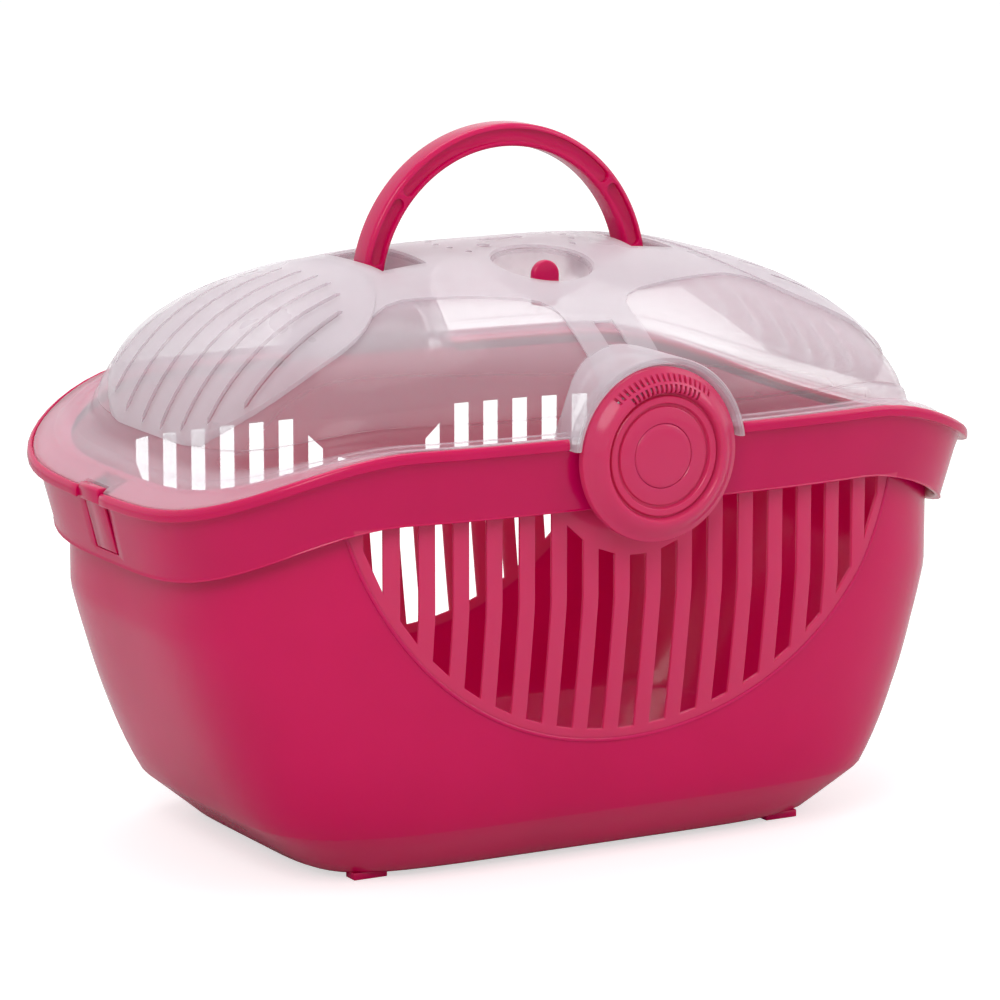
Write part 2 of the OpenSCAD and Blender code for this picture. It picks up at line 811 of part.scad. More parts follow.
// Clip on the +X end: a tongue that continues the skirt, with a hook over the lid seat
module end_clip() {
    skirt_low_z = rim_z - skirt_h - skirt_fall * fall(rim_a - lip_out - skirt_draft);
    low_x = rim_a - lip_out - skirt_draft * clip_tongue / (rim_z - rim_fall - skirt_low_z);
    top_x = rim_a - lip_out;
    lip_z = rim_z - rim_fall;
    head_z = lip_z + lip_h + 3;
    hook_x = rim_a - upstand - clip_hook;
    hook_z = head_z - 3.2;
    color(pink)
        rotate([90, 0, 0])
            linear_extrude(height = clip_w, center = true)
                polygon([[low_x, clip_pivot_z], [top_x, lip_z - 1], [rim_a - 1, lip_z + 0.5],
                    [rim_a - 0.5, head_z - 1], [rim_a - 2, head_z], [hook_x + 0.8, head_z],
                    [hook_x, head_z - 0.8], [hook_x, hook_z + 1.2], [rim_a - upstand - 1.5, hook_z],
                    [top_x - wall, lip_z - 4], [low_x - wall, clip_pivot_z]]);
}
module right_end_clip() { end_clip(); }
module left_end_clip() { rotate([0, 0, 180]) end_clip(); }

tub_shell();
front_latch_disc();
front_latch_cap();
front_latch_pin();
rear_latch_disc();
rear_latch_cap();
rear_latch_pin();
lid_shell();
carry_handle();
turn_knob();
knob_retainer();
left_end_clip();
right_end_clip();
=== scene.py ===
"""Looks of an open-topped pet carrier: pink moulded tub, clear domed lid, round side latches."""

import math
import bmesh
import bpy
from bpy.props import FloatProperty, FloatVectorProperty, IntProperty, PointerProperty
from mathutils import Matrix, Vector


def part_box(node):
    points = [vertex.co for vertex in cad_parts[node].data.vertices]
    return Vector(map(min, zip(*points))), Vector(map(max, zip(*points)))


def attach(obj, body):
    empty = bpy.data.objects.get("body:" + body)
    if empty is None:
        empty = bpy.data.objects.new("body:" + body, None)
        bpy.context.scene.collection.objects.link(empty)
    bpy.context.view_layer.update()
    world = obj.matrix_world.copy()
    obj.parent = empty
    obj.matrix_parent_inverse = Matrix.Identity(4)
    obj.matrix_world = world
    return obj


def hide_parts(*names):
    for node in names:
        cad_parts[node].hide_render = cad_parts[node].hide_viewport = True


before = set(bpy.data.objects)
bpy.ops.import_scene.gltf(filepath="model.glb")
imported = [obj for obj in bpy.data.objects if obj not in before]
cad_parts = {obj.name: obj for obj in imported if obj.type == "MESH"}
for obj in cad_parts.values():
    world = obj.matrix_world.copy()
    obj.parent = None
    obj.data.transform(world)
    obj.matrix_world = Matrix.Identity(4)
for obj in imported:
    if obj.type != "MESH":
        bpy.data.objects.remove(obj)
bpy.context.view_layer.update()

bl_info = {
    "name": "Pet Carrier Looks",
    "version": (1, 0, 0),
    "blender": (4, 5, 0),
    "location": "3D View > Sidebar > Carrier",
    "description": "Builds the finished surfaces of a moulded pet carrier round its frame",
    "category": "Object",
}


# Sizes and colours

def length(name, text, value, low=0.0):
    return FloatProperty(name=name, description=text, default=value, min=low, subtype="DISTANCE", unit="LENGTH")


def colour(name, text, value):
    return FloatVectorProperty(name=name, description=text, default=value, subtype="COLOR", size=3, min=0, max=1)


class TubSizes(bpy.types.PropertyGroup):
    rim_length: length("Rim length", "Overall length of the rim", 0.5)
    rim_width: length("Rim width", "Overall width of the rim", 0.342)
    rim_z: length("Rim height", "Underside of the rim lip at the middle of the long sides", 0.238)
    rim_fall: length("Rim fall", "How far the rim falls towards each end", 0.0375)
    level_half: length("Level stretch", "Half length of the level stretch of the rim", 0.138)
    fall_run: length("Fall run", "Length over which the rim falls", 0.26)
    base_length: length("Base length", "Length of the base", 0.31)
    base_width: length("Base width", "Width of the base", 0.198)
    base_step: length("Chamfer height", "Height of the chamfered stretch above the base", 0.027)
    bulge_height: length("Bulge height", "Height at which the wall reaches its full outline", 0.15)
    wall: length("Wall", "Thickness of the moulded walls", 0.0022)
    lip: length("Lip height", "Height of the rim lip", 0.006)
    lip_out: length("Lip overhang", "How far the lip stands out from the skirt", 0.0045)
    skirt: length("Skirt height", "Height of the skirt below the lip", 0.035)
    draft: length("Skirt draft", "How far the skirt draws in towards its lower edge", 0.0085)
    inset: length("Wall inset", "From the outside of the lip to the outside of the wall", 0.02)
    upstand: length("Upstand", "Width of the upstand round the lid seat", 0.0025)
    seat_depth: length("Seat depth", "Depth of the lid seat below the top of the lip", 0.0028)
    foot: length("Foot height", "Height of the feet", 0.003)


class GrilleSizes(bpy.types.PropertyGroup):
    slots: IntProperty(name="Slots", description="Slots to each side of the middle one", default=8, min=2, max=8)
    pitch: length("Pitch", "Distance from slot to slot", 0.0191)
    width: length("Slot width", "Width of a slot", 0.01)
    radius: length("Arc radius", "Radius of the arc that ends the slots", 0.167)
    low: length("Lowest point", "Lowest point of the slots above the floor", 0.078)
    pad: length("Pad radius", "Radius of the plain pad behind each latch", 0.057)


class LatchSizes(bpy.types.PropertyGroup):
    radius: length("Radius", "Largest radius of a latch disc", 0.0465)
    centre: length("Centre height", "Height of the middle of a latch above the floor", 0.2315)
    depth: length("Depth", "Depth of a latch disc", 0.011)
    sink: length("Sink", "How far its back sits behind the front of the lip", 0.0025)
    cap: length("Cap radius", "Radius of the round cap", 0.017)
    pivot_drop: length("Pivot drop", "Distance of the pivot below the middle", 0.036)
    ribs: IntProperty(name="Ribs", description="Grip slots in the outer row", default=19, min=5, max=25)


class LidSizes(bpy.types.PropertyGroup):
    top: length("Top", "Height of the top of the lid above the floor", 0.3225)
    wall: length("Wall", "Wall thickness of the lid", 0.0024)
    flange: length("Flange", "Width of the flange along the sides", 0.013)
    flange_end: length("End flange", "Width of the flange at the ends", 0.033)
    gap: length("Gap", "Gap between flange and upstand", 0.0007)
    bead: length("Bead", "Height of the rounded step above the flange", 0.009)
    bead_in: length("Bead draw", "How far the dome foot draws in above the flange", 0.003)
    leaf: length("Leaf height", "Height of the raised leaf panels", 0.0024)
    leaf_half: length("Leaf half width", "Half width of a leaf panel at its broadest", 0.1)
    leaf_mid: length("Leaf place", "Distance of a leaf's broadest place from the middle of the lid", 0.158)
    leaf_in: length("Leaf reach", "Reach of a leaf from its broadest place towards the middle", 0.062)
    leaf_slot: length("Leaf slot", "Width of a leaf slot", 0.004)
    saddle: length("Saddle height", "Height of the frosted saddle", 0.0015)
    panel: length("Panel radius", "Radius of the round top panel", 0.064)
    collar: length("Collar radius", "Outer radius of a latch collar", 0.052)
    collar_gap: length("Collar gap", "Gap between a latch disc and its collar", 0.0015)
    collar_out: length("Collar reach", "How far the collar stands in front of the lip", 0.004)
    vent_ring: length("Vent ring", "Radius of the ring of air holes", 0.04)
    vent: length("Vent radius", "Radius of an air hole", 0.002)
    bowl_y: length("Bowl place", "Distance of the bowl from the middle", 0.05)
    bowl_radius: length("Bowl radius", "Radius of the finger bowl's sphere", 0.032)
    bowl_floor: length("Bowl floor", "Height of the bottom of the bowl", 0.2995)


class HandleSizes(bpy.types.PropertyGroup):
    radius: length("Radius", "Outer radius of the bow", 0.089)
    thick: length("Thickness", "Thickness along the radius", 0.0127)
    depth: length("Depth", "Depth front to back", 0.016)
    centre: length("Arc centre", "Height of the middle of the arc", 0.299)
    pivot: length("Pivot", "Height of the pivot", 0.3055)
    pocket: length("Pocket", "Depth of the moulded pockets", 0.003)
    pin: length("Pin radius", "Radius of a pivot pin", 0.004)
    pin_length: length("Pin length", "Length of a pivot pin inwards of the bow", 0.022)
    socket_in: length("Socket room", "Room inwards of a leg for the bow when it leans", 0.0125)
    socket_half: length("Socket half length", "Half length of a socket", 0.034)


class Finishes(bpy.types.PropertyGroup):
    pink: colour("Pink", "Moulded pink plastic", (0.64, 0.001, 0.105))
    pink_deep: colour("Deep pink", "Darker flow of the pink plastic", (0.56, 0.001, 0.088))
    pink_pale: colour("Pale pink", "Duller pink of the grille and the latches", (0.64, 0.035, 0.13))
    clear: colour("Clear", "Clear window plastic", (0.98, 0.83, 0.92))
    flange: colour("Flange", "Thick clear plastic of the flange", (0.86, 0.74, 0.83))
    frosted: colour("Frosted", "Frosted panel plastic", (0.80, 0.72, 0.78))
    floor: colour("Floor", "Pale floor", (0.68, 0.68, 0.68))


# Shapes shared by several pieces

LONG_P, LONG_Q, CROSS_P, TOP_ROUND = 2.6, 1.32, 1.65, 0.3
PLAN_POWER, BASE_POWER, END_BULGE, SIDE_BULGE = 3.7, 6.0, 0.5, 0.38
SKIRT_FALL = 1.18
GRILLE_BAND, MASK_BLUR = 0.0055, 0.0012
RING = 32


def sizes(name):
    return getattr(bpy.context.scene, "carrier_" + name)


def ease(t):
    t = max(0.0, min(1.0, t))
    return t * t * (3 - 2 * t)


def fall(x):
    """How far the rim has dropped at a distance x from the middle."""
    tub = sizes("tub")
    end = ease((tub.rim_length / 2 - tub.level_half) / tub.fall_run)
    return tub.rim_fall * ease((abs(x) - tub.level_half) / tub.fall_run) / end


def quarter(a, b, power, columns=(), steps=RING):
    """Points of a quarter outline: the given x places first, then evenly round the corner."""
    points = [(0.0, b)]
    for x in columns:
        points.append((x, b * (1 - (x / a) ** power) ** (1 / power)))
    start = math.acos(min(1.0, (points[-1][0] / a) ** (power / 2)))
    fine = []
    for i in range(241):
        t = start * (1 - i / 240)
        fine.append((a * math.cos(t) ** (2 / power), b * math.sin(t) ** (2 / power)))
    run = [0.0]
    for p, q in zip(fine, fine[1:]):
        run.append(run[-1] + math.dist(p, q))
    k = 0
    for i in range(1, steps):
        want = run[-1] * i / steps
        while run[k + 1] < want:
            k += 1
        f = (want - run[k]) / (run[k + 1] - run[k])
        points.append(tuple(fine[k][j] + f * (fine[k + 1][j] - fine[k][j]) for j in (0, 1)))
    return points


def outline(a, b, power, columns=(), steps=RING):
    """A closed outline from the front middle round by the right end."""
    q = quarter(a, b, power, columns, steps)
    back = list(reversed(q[1:]))
    return ([(x, -y) for x, y in q] + [(a, 0)] + [(x, y) for x, y in back] + [(0, b)]
            + [(-x, y) for x, y in q[1:]] + [(-a, 0)] + [(-x, -y) for x, y in back])


def ring(a, b, z, k, power=PLAN_POWER, columns=(), steps=RING):
    return [Vector((x, y, z - k * fall(x))) for x, y in outline(a, b, power, columns, steps)]


def rim_ring(inset, z, k=1.0):
    tub = sizes("tub")
    return ring(tub.rim_length / 2 - inset, tub.rim_width / 2 - inset, z, k)


def bulge(h, power):
    """Share of the way from the base outline to the wall outline at height h above the base."""
    tub = sizes("tub")
    if h <= tub.base_step:
        return (tub.base_step / tub.bulge_height) ** power * h / tub.base_step
    return min(1.0, h / tub.bulge_height) ** power


def wall_outline(h, inset=0.0):
    """Half length, half width and squareness of the tub's outside at height h above the base."""
    tub = sizes("tub")
    s, side = bulge(h, END_BULGE), bulge(h, SIDE_BULGE)
    a = tub.base_length / 2 + (tub.rim_length / 2 - tub.inset - tub.base_length / 2) * s
    b = tub.base_width / 2 + (tub.rim_width / 2 - tub.inset - tub.base_width / 2) * side
    return a - inset, b - inset, BASE_POWER + (PLAN_POWER - BASE_POWER) * s


def wall_fall(h):
    tub = sizes("tub")
    return h / (tub.rim_z - tub.foot)


def wall_point(x, z):
    """The point of the front wall at x and height z."""
    tub = sizes("tub")
    h = z - tub.foot
    for _ in range(4):
        h = z - tub.foot + wall_fall(h) * fall(x)
    a, b, power = wall_outline(h)
    return Vector((x, -b * (1 - (abs(x) / a) ** power) ** (1 / power), z))


def flange_sizes():
    """Half length and half width of the lid's flange, its underside, and those of the dome's foot."""
    tub, lid = sizes("tub"), sizes("lid")
    a = tub.rim_length / 2 - tub.upstand - lid.gap
    b = tub.rim_width / 2 - tub.upstand - lid.gap
    z = tub.rim_z + tub.lip - tub.seat_depth + 0.0006
    return a, b, z, a - lid.flange_end - lid.bead_in, b - lid.flange - lid.bead_in


def flange_ring(inset, z):
    lid = sizes("lid")
    a, b, _, _, _ = flange_sizes()
    extra = (lid.flange_end - lid.flange) * min(1.0, inset / lid.flange)
    return ring(a - inset - extra, b - inset, z, 1)


def dome_ring(s, grow=0.0, steps=RING):
    """A ring of the dome at the share s of its height, grown outwards."""
    lid = sizes("lid")
    _, _, z, foot_a, foot_b = flange_sizes()
    a = foot_a * (1 - s ** LONG_Q) ** (1 / LONG_P)
    b = foot_b * (1 - s ** CROSS_P) ** (1 / CROSS_P)
    low = z + lid.wall + lid.bead
    high = low + s * (lid.top - low) + grow * s
    return ring(a + grow, b + grow, high, 1 - s, PLAN_POWER - TOP_ROUND * s, steps=steps)


DOME_SHARES = [0, 0.04, 0.09, 0.14, 0.2, 0.26, 0.32, 0.38, 0.44, 0.5, 0.56, 0.62, 0.67, 0.72, 0.77,
               0.81, 0.85, 0.88, 0.91, 0.935, 0.955, 0.97, 0.982, 0.991, 0.997, 0.9995]


# Mesh work

def grow_ring(bm, old, places):
    """Extrudes the closed ring of vertices to new places."""
    count = len(old)
    edges = [bm.edges.get((old[i], old[(i + 1) % count])) for i in range(count)]
    made = bmesh.ops.extrude_edge_only(bm, edges=edges)["geom"]
    fresh = {v for v in made if isinstance(v, bmesh.types.BMVert)}
    new = []
    for v in old:
        new.append(next(e.other_vert(v) for e in v.link_edges if e.other_vert(v) in fresh))
    for v, place in zip(new, places):
        v.co = place
    return new


def loft(bm, rings, close=False, start=False, end=False):
    """A skin through rings of places, from a circle; returns the rings of vertices."""
    count = len(rings[0])
    made = bmesh.ops.create_circle(bm, segments=count, radius=1, cap_ends=start)["verts"]
    rows = [list(made)]
    for v, place in zip(rows[0], rings[0]):
        v.co = place
    for places in rings[1:]:
        rows.append(grow_ring(bm, rows[-1], places))

    def edges_of(row):
        return [bm.edges.get((row[i], row[(i + 1) % count])) for i in range(count)]

    if close:
        bmesh.ops.bridge_loops(bm, edges=edges_of(rows[0]) + edges_of(rows[-1]))
    if end:
        bmesh.ops.edgeloop_fill(bm, edges=edges_of(rows[-1]))
    return rows


def prism(bm, points, low, high):
    """An upright prism over a flat outline."""
    verts = [bm.verts.new((x, y, low)) for x, y in points]
    face = bm.faces.new(verts)
    made = bmesh.ops.extrude_face_region(bm, geom=[face])["geom"]
    top = [v for v in made if isinstance(v, bmesh.types.BMVert)]
    bmesh.ops.translate(bm, verts=top, vec=(0, 0, high - low))


def block(bm, low, high):
    """A box between two corners."""
    made = bmesh.ops.create_cube(bm, size=1)["verts"]
    low, high = Vector(low), Vector(high)
    bmesh.ops.scale(bm, verts=made, vec=high - low)
    bmesh.ops.translate(bm, verts=made, vec=(low + high) / 2)
    return made


def turned(bm, profile, centre, axis, steps=128, close=True):
    """Spins a profile of (radius, height) about an axis through centre; height runs along it."""
    axis = Vector(axis)
    across = Vector((1, 0, 0)) if abs(axis.x) < 0.5 else Vector((0, 1, 0))
    verts = [bm.verts.new(Vector(centre) + across * r + axis * h) for r, h in profile]
    last = len(verts) if close else len(verts) - 1
    edges = [bm.edges.new((verts[i], verts[(i + 1) % len(verts)])) for i in range(last)]
    bmesh.ops.spin(bm, geom=verts + edges, cent=centre, axis=axis, angle=math.tau, steps=steps, use_merge=True)
    bmesh.ops.remove_doubles(bm, verts=bm.verts, dist=1e-6)
    bmesh.ops.recalc_face_normals(bm, faces=bm.faces)


def pin_mesh(bm, start, end, radius, segments=48):
    """A round bar between two points."""
    start, end = Vector(start), Vector(end)
    made = bmesh.ops.create_cone(bm, cap_ends=True, segments=segments, radius1=radius, radius2=radius,
                                 depth=(end - start).length)["verts"]
    turn = Vector((0, 0, 1)).rotation_difference(end - start).to_matrix().to_4x4()
    bmesh.ops.transform(bm, matrix=Matrix.Translation((start + end) / 2) @ turn, verts=made)


def mesh_object(bm, name):
    mesh = bpy.data.meshes.new(name)
    bm.to_mesh(mesh)
    bm.free()
    made = bpy.data.objects.new(name, mesh)
    bpy.context.scene.collection.objects.link(made)
    return made


def settle(piece):
    """Puts the result of a piece's modifiers in its mesh."""
    graph = bpy.context.evaluated_depsgraph_get()
    mesh = bpy.data.meshes.new_from_object(piece.evaluated_get(graph))
    piece.modifiers.clear()
    piece.data = mesh
    mesh.name = piece.name


def combine(piece, tool_bm, kind="DIFFERENCE"):
    """Cuts, joins or meets a piece with a tool's solid."""
    bmesh.ops.recalc_face_normals(tool_bm, faces=tool_bm.faces)
    tool = mesh_object(tool_bm, "tool")
    cut = piece.modifiers.new("cut", "BOOLEAN")
    cut.operation = kind
    cut.solver = "EXACT"
    cut.use_self = True
    cut.object = tool
    settle(piece)
    bpy.data.objects.remove(tool)


def thicken(piece, wall, offset=-1):
    shell = piece.modifiers.new("wall", "SOLIDIFY")
    shell.thickness = wall
    shell.offset = offset
    shell.use_even_offset = True
    settle(piece)


def soften(piece, width, segments=2, angle=40):
    """Rounds a piece's sharp edges."""
    bevel = piece.modifiers.new("edges", "BEVEL")
    bevel.width = width
    bevel.segments = segments
    bevel.limit_method = "ANGLE"
    bevel.angle_limit = math.radians(angle)
    settle(piece)


def dress(piece, body, slot, material, *nodes, angle=32):
    """Shades a piece, gives it its finish, hangs it on the body it rides on and hides the frame parts it stands for."""
    piece.data.materials.clear()
    piece.data.materials.append(material)
    piece.data.shade_smooth()
    piece.data.set_sharp_from_angle(angle=math.radians(angle))
    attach(piece, body)
    if nodes:
        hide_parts(*nodes)


# Finishes

def new_material(name):
    made = bpy.data.materials.get(name)
    if made:
        return made, None
    made = bpy.data.materials.new(name)
    made.use_nodes = True
    return made, made.node_tree


def add(tree, kind, **values):
    node = tree.nodes.new(kind)
    for key, value in values.items():
        if key in node.inputs:
            node.inputs[key].default_value = value
        else:
            setattr(node, key, value)
    return node


def noise_of(tree, coords, scale, detail=3.0):
    node = add(tree, "ShaderNodeTexNoise", Scale=scale, Detail=detail)
    tree.links.new(coords.outputs["Object"], node.inputs["Vector"])
    return node


def ranged(tree, source, low, high, start=0.3, stop=0.7):
    node = add(tree, "ShaderNodeMapRange")
    node.inputs["From Min"].default_value = start
    node.inputs["From Max"].default_value = stop
    node.inputs["To Min"].default_value = low
    node.inputs["To Max"].default_value = high
    tree.links.new(source, node.inputs["Value"])
    return node.outputs["Result"]


def blended(tree, factor, first, second):
    node = add(tree, "ShaderNodeMix", data_type="RGBA")
    node.inputs["A"].default_value = (*first, 1)
    node.inputs["B"].default_value = (*second, 1)
    tree.links.new(factor, node.inputs["Factor"])
    return node.outputs["Result"]


def bumped(tree, height, strength, distance):
    node = add(tree, "ShaderNodeBump", Strength=strength, Distance=distance)
    tree.links.new(height, node.inputs["Height"])
    return node.outputs["Normal"]


def grille_mask(tree, coords):
    """1 within the arc that frames the slots, 0 outside it and on the skirt."""
    tub, grille = sizes("tub"), sizes("grille")
    flat = add(tree, "ShaderNodeVectorMath", operation="MULTIPLY")
    flat.inputs[1].default_value = (1, 0, 1)
    tree.links.new(coords.outputs["Object"], flat.inputs[0])
    reach = add(tree, "ShaderNodeVectorMath", operation="DISTANCE")
    reach.inputs[1].default_value = (0, 0, grille.low + grille.radius)
    tree.links.new(flat.outputs["Vector"], reach.inputs[0])
    arc = grille.radius + GRILLE_BAND
    inside = ranged(tree, reach.outputs["Value"], 1, 0, arc - MASK_BLUR, arc)
    apart = add(tree, "ShaderNodeSeparateXYZ")
    tree.links.new(coords.outputs["Object"], apart.inputs[0])
    skirt = tub.rim_z - tub.skirt
    under = ranged(tree, apart.outputs["Z"], 1, 0, skirt - MASK_BLUR, skirt)
    both = add(tree, "ShaderNodeMath", operation="MULTIPLY")
    tree.links.new(inside, both.inputs[0])
    tree.links.new(under, both.inputs[1])
    return both.outputs[0]


def pink_plastic(name="moulded_pink", pale=False):
    """Glossy injection-moulded plastic with faint flow and sink marks, duller on the grille."""
    made, tree = new_material(name)
    if tree is None:
        return made
    finish = sizes("finish")
    shader = tree.nodes["Principled BSDF"]
    coords = add(tree, "ShaderNodeTexCoord")
    flow = noise_of(tree, coords, 9.0)
    colour_out = blended(tree, ranged(tree, flow.outputs["Fac"], 0, 1), finish.pink_deep, finish.pink)
    paler = add(tree, "ShaderNodeMix", data_type="RGBA")
    paler.inputs["Factor"].default_value = 1.0 if pale else 0.0
    paler.inputs["B"].default_value = (*finish.pink_pale, 1)
    tree.links.new(colour_out, paler.inputs["A"])
    if not pale:
        tree.links.new(grille_mask(tree, coords), paler.inputs["Factor"])
    tree.links.new(paler.outputs["Result"], shader.inputs["Base Color"])
    smear = noise_of(tree, coords, 38.0, 5.0)
    tree.links.new(ranged(tree, smear.outputs["Fac"], 0.13, 0.24), shader.inputs["Roughness"])
    skin = noise_of(tree, coords, 26.0, 2.0)
    tree.links.new(bumped(tree, skin.outputs["Fac"], 0.25, 0.0006), shader.inputs["Normal"])
    shader.inputs["IOR"].default_value = 1.5
    shader.inputs["Specular IOR Level"].default_value = 0.24
    shader.inputs["Subsurface Weight"].default_value = 0.4
    shader.inputs["Subsurface Radius"].default_value = (1.0, 0.06, 0.25)
    shader.inputs["Subsurface Scale"].default_value = 0.006
    shader.inputs["Coat Weight"].default_value = 0.12
    shader.inputs["Coat Roughness"].default_value = 0.08
    return made


def pale_pink_plastic():
    return pink_plastic("pale_moulded_pink", True)


def lid_plastic(name, base, low, high, rough_low, rough_high, bump):
    """Milky see-through plastic, denser where the wall is seen edge on."""
    made, tree = new_material(name)
    if tree is None:
        return made
    shader = tree.nodes["Principled BSDF"]
    coords = add(tree, "ShaderNodeTexCoord")
    cloud = noise_of(tree, coords, 14.0)
    tint = blended(tree, ranged(tree, cloud.outputs["Fac"], 0, 1), base, [c * 0.93 for c in base])
    tree.links.new(tint, shader.inputs["Base Color"])
    tree.links.new(ranged(tree, cloud.outputs["Fac"], rough_low, rough_high), shader.inputs["Roughness"])
    edge = add(tree, "ShaderNodeLayerWeight", Blend=0.45)
    tree.links.new(ranged(tree, edge.outputs["Facing"], low, high, 0.25, 0.95), shader.inputs["Alpha"])
    skin = noise_of(tree, coords, 30.0, 3.0)
    tree.links.new(bumped(tree, skin.outputs["Fac"], bump, 0.0008), shader.inputs["Normal"])
    shader.inputs["IOR"].default_value = 1.49
    shader.inputs["Subsurface Weight"].default_value = 0.6
    shader.inputs["Subsurface Radius"].default_value = (1.0, 0.9, 0.95)
    shader.inputs["Subsurface Scale"].default_value = 0.006
    return made


def clear_plastic():
    return lid_plastic("clear_window", sizes("finish").clear, 0.15, 0.52, 0.05, 0.15, 0.25)


def flange_plastic():
    return lid_plastic("clear_flange", sizes("finish").flange, 0.11, 0.5, 0.08, 0.2, 0.2)


def frosted_plastic():
    return lid_plastic("frosted_panel", sizes("finish").frosted, 0.26, 0.72, 0.25, 0.4, 0.3)


# Pieces

def grille_columns():
    """Slot edges to the right of the middle, where the middle slot has only one."""
    grille = sizes("grille")
    places = [grille.width / 2]
    for j in range(1, grille.slots + 1):
        places += [j * grille.pitch - grille.width / 2, j * grille.pitch + grille.width / 2]
    return places


def arc_z(x):
    grille = sizes("grille")
    return grille.low + grille.radius - math.sqrt(max(0.0, grille.radius ** 2 - x * x))


def pad_z(x, top):
    grille, latch = sizes("grille"), sizes("latch")
    if abs(x) >= grille.pad:
        return top
    return min(top, latch.centre - math.sqrt(grille.pad ** 2 - x * x))


def tub_wall():
    tub, grille = sizes("tub"), sizes("grille")
    columns = grille_columns()
    narrow_h = grille.low - tub.foot - 0.006
    slot_top = tub.rim_z - tub.skirt + tub.wall
    heights = [0.0, 0.0007, 0.0025, 0.009, 0.018, 0.0262, 0.0278, 0.036, 0.045, 0.054]
    step = 0.0058
    while heights[-1] + step < slot_top - tub.foot - 0.003:
        heights.append(heights[-1] + step)
    heights[-1] = slot_top - tub.foot
    slot_row = len(heights) - 1
    heights += [0.21, 0.22, 0.232]
    wide = wall_outline(narrow_h)[0]
    rings = []
    for h in heights:
        inset = max(0.0, 0.0025 - h) if h < 0.0025 else 0.0
        a, b, power = wall_outline(h, inset)
        share = min(1.0, a / wide)
        rings.append(ring(a, b, tub.foot + h, wall_fall(h), power, [x * share for x in columns], 16))
    bm = bmesh.new()
    rows = loft(bm, rings, start=True)
    quarter_count = len(rings[0]) // 4
    edges = [0.0] + columns
    for side in range(4):
        sign = 1 if side in (0, 3) else -1

        def spot(i):
            return (i, 2 * quarter_count - i, 2 * quarter_count + i, -i)[side]

        def place(row, i, z):
            x = edges[i] * (1 if side in (0, 1) else -1)
            point = wall_point(x, z)
            rows[row][spot(i)].co = (x, point.y * sign, z)

        for j in range(grille.slots + 1):
            left, right = 2 * j, 2 * j + 1
            low, high = {}, {}
            for i in (left, right):
                x = edges[i]
                z_low = min(arc_z(x), slot_top - 0.003)
                z_high = pad_z(x, slot_top)
                heights_at = [rows[r][spot(i)].co.z for r in range(slot_row + 1)]
                low[i] = min(range(slot_row), key=lambda r: abs(heights_at[r] - z_low))
                high[i] = min(range(low[i] + 1, slot_row + 1), key=lambda r: abs(heights_at[r] - z_high))
                place(low[i], i, z_low)
                place(high[i], i, z_high)
            for r in range(min(low.values()), max(high.values())):
                face = bm.faces.get([rows[r][spot(left)], rows[r][spot(right)],
                                     rows[r + 1][spot(right)], rows[r + 1][spot(left)]])
                bmesh.ops.delete(bm, geom=[face], context="FACES_ONLY")
            bottom = ([rows[r][spot(right)] for r in range(low[left], low[right] + 1)]
                      + [rows[low[left]][spot(left)]])
            if len(bottom) > 2:
                bm.faces.new(bottom)
            top = [rows[r][spot(left)] for r in range(high[left], high[right] + 1)] + [rows[high[right]][spot(right)]]
            if len(top) > 2:
                bm.faces.new(top)
    loose = [e for e in bm.edges if not e.link_faces]
    bmesh.ops.delete(bm, geom=loose, context="EDGES")
    bmesh.ops.recalc_face_normals(bm, faces=bm.faces)
    made = mesh_object(bm, "tub_wall")
    thicken(made, tub.wall)
    soften(made, 0.0005, 2, 50)
    return made


def tub_rim():
    """Lip, skirt, upstand and lid seat, as one folded section swept round the tub."""
    tub = sizes("tub")
    seat = tub.lip - tub.seat_depth
    low = -tub.skirt
    out, draft, wall = tub.lip_out, tub.draft, tub.wall

    def skirt_k(dz):
        return 1 + (SKIRT_FALL - 1) * dz / low

    section = [
        (tub.inset + wall - 0.0004, seat), (tub.inset / 2, seat), (tub.upstand + 0.0005, seat),
        (tub.upstand, seat + 0.0004),
        (tub.upstand, tub.lip - 0.0006), (tub.upstand - 0.0005, tub.lip), (0.0016, tub.lip),
        (0.0007, tub.lip - 0.0004), (0.0001, tub.lip - 0.0014), (0.0, tub.lip - 0.0026), (0.0, 0.0012),
        (0.0002, 0.0004), (0.0009, 0.0), (out - 0.0012, 0.0), (out - 0.0003, -0.0004), (out, -0.0014),
        (out + 0.2 * draft, 0.2 * low), (out + 0.4 * draft, 0.4 * low), (out + 0.6 * draft, 0.6 * low),
        (out + 0.8 * draft, 0.8 * low), (out + 0.93 * draft, 0.93 * low), (out + 0.95 * draft, 0.97 * low),
        (out + 0.9 * draft, 0.99 * low), (out + 0.9 * draft + 0.0006, low),
        (out + draft + wall, low), (out + draft + wall, 0.96 * low), (out + 0.5 * draft + wall, 0.5 * low),
        (out + wall, seat - wall - 0.001), (out + wall + 0.001, seat - wall), (tub.inset, seat - wall)]
    bm = bmesh.new()
    loft(bm, [rim_ring(inset, tub.rim_z + dz, skirt_k(dz) if dz < 0 else 1.0) for inset, dz in section], close=True)
    bmesh.ops.recalc_face_normals(bm, faces=bm.faces)
    made = mesh_object(bm, "tub_rim")
    half = sizes("lid").collar + 0.001
    tools = bmesh.new()
    for s in (-1, 1):
        edge = sorted((s * (tub.rim_width / 2 + 0.01), s * (tub.rim_width / 2 - tub.inset - 0.006)))
        block(tools, (-half, edge[0], tub.rim_z - 0.001), (half, edge[1], tub.rim_z + 0.03))
        ends = sorted((s * (tub.rim_length / 2 + 0.01), s * (tub.rim_length / 2 - 0.0182)))
        block(tools, (ends[0], -0.0145, tub.rim_z - tub.rim_fall - 0.0275), (ends[1], 0.0145, tub.rim_z + 0.01))
    combine(made, tools)
    soften(made, 0.0004, 2, 50)
    return made


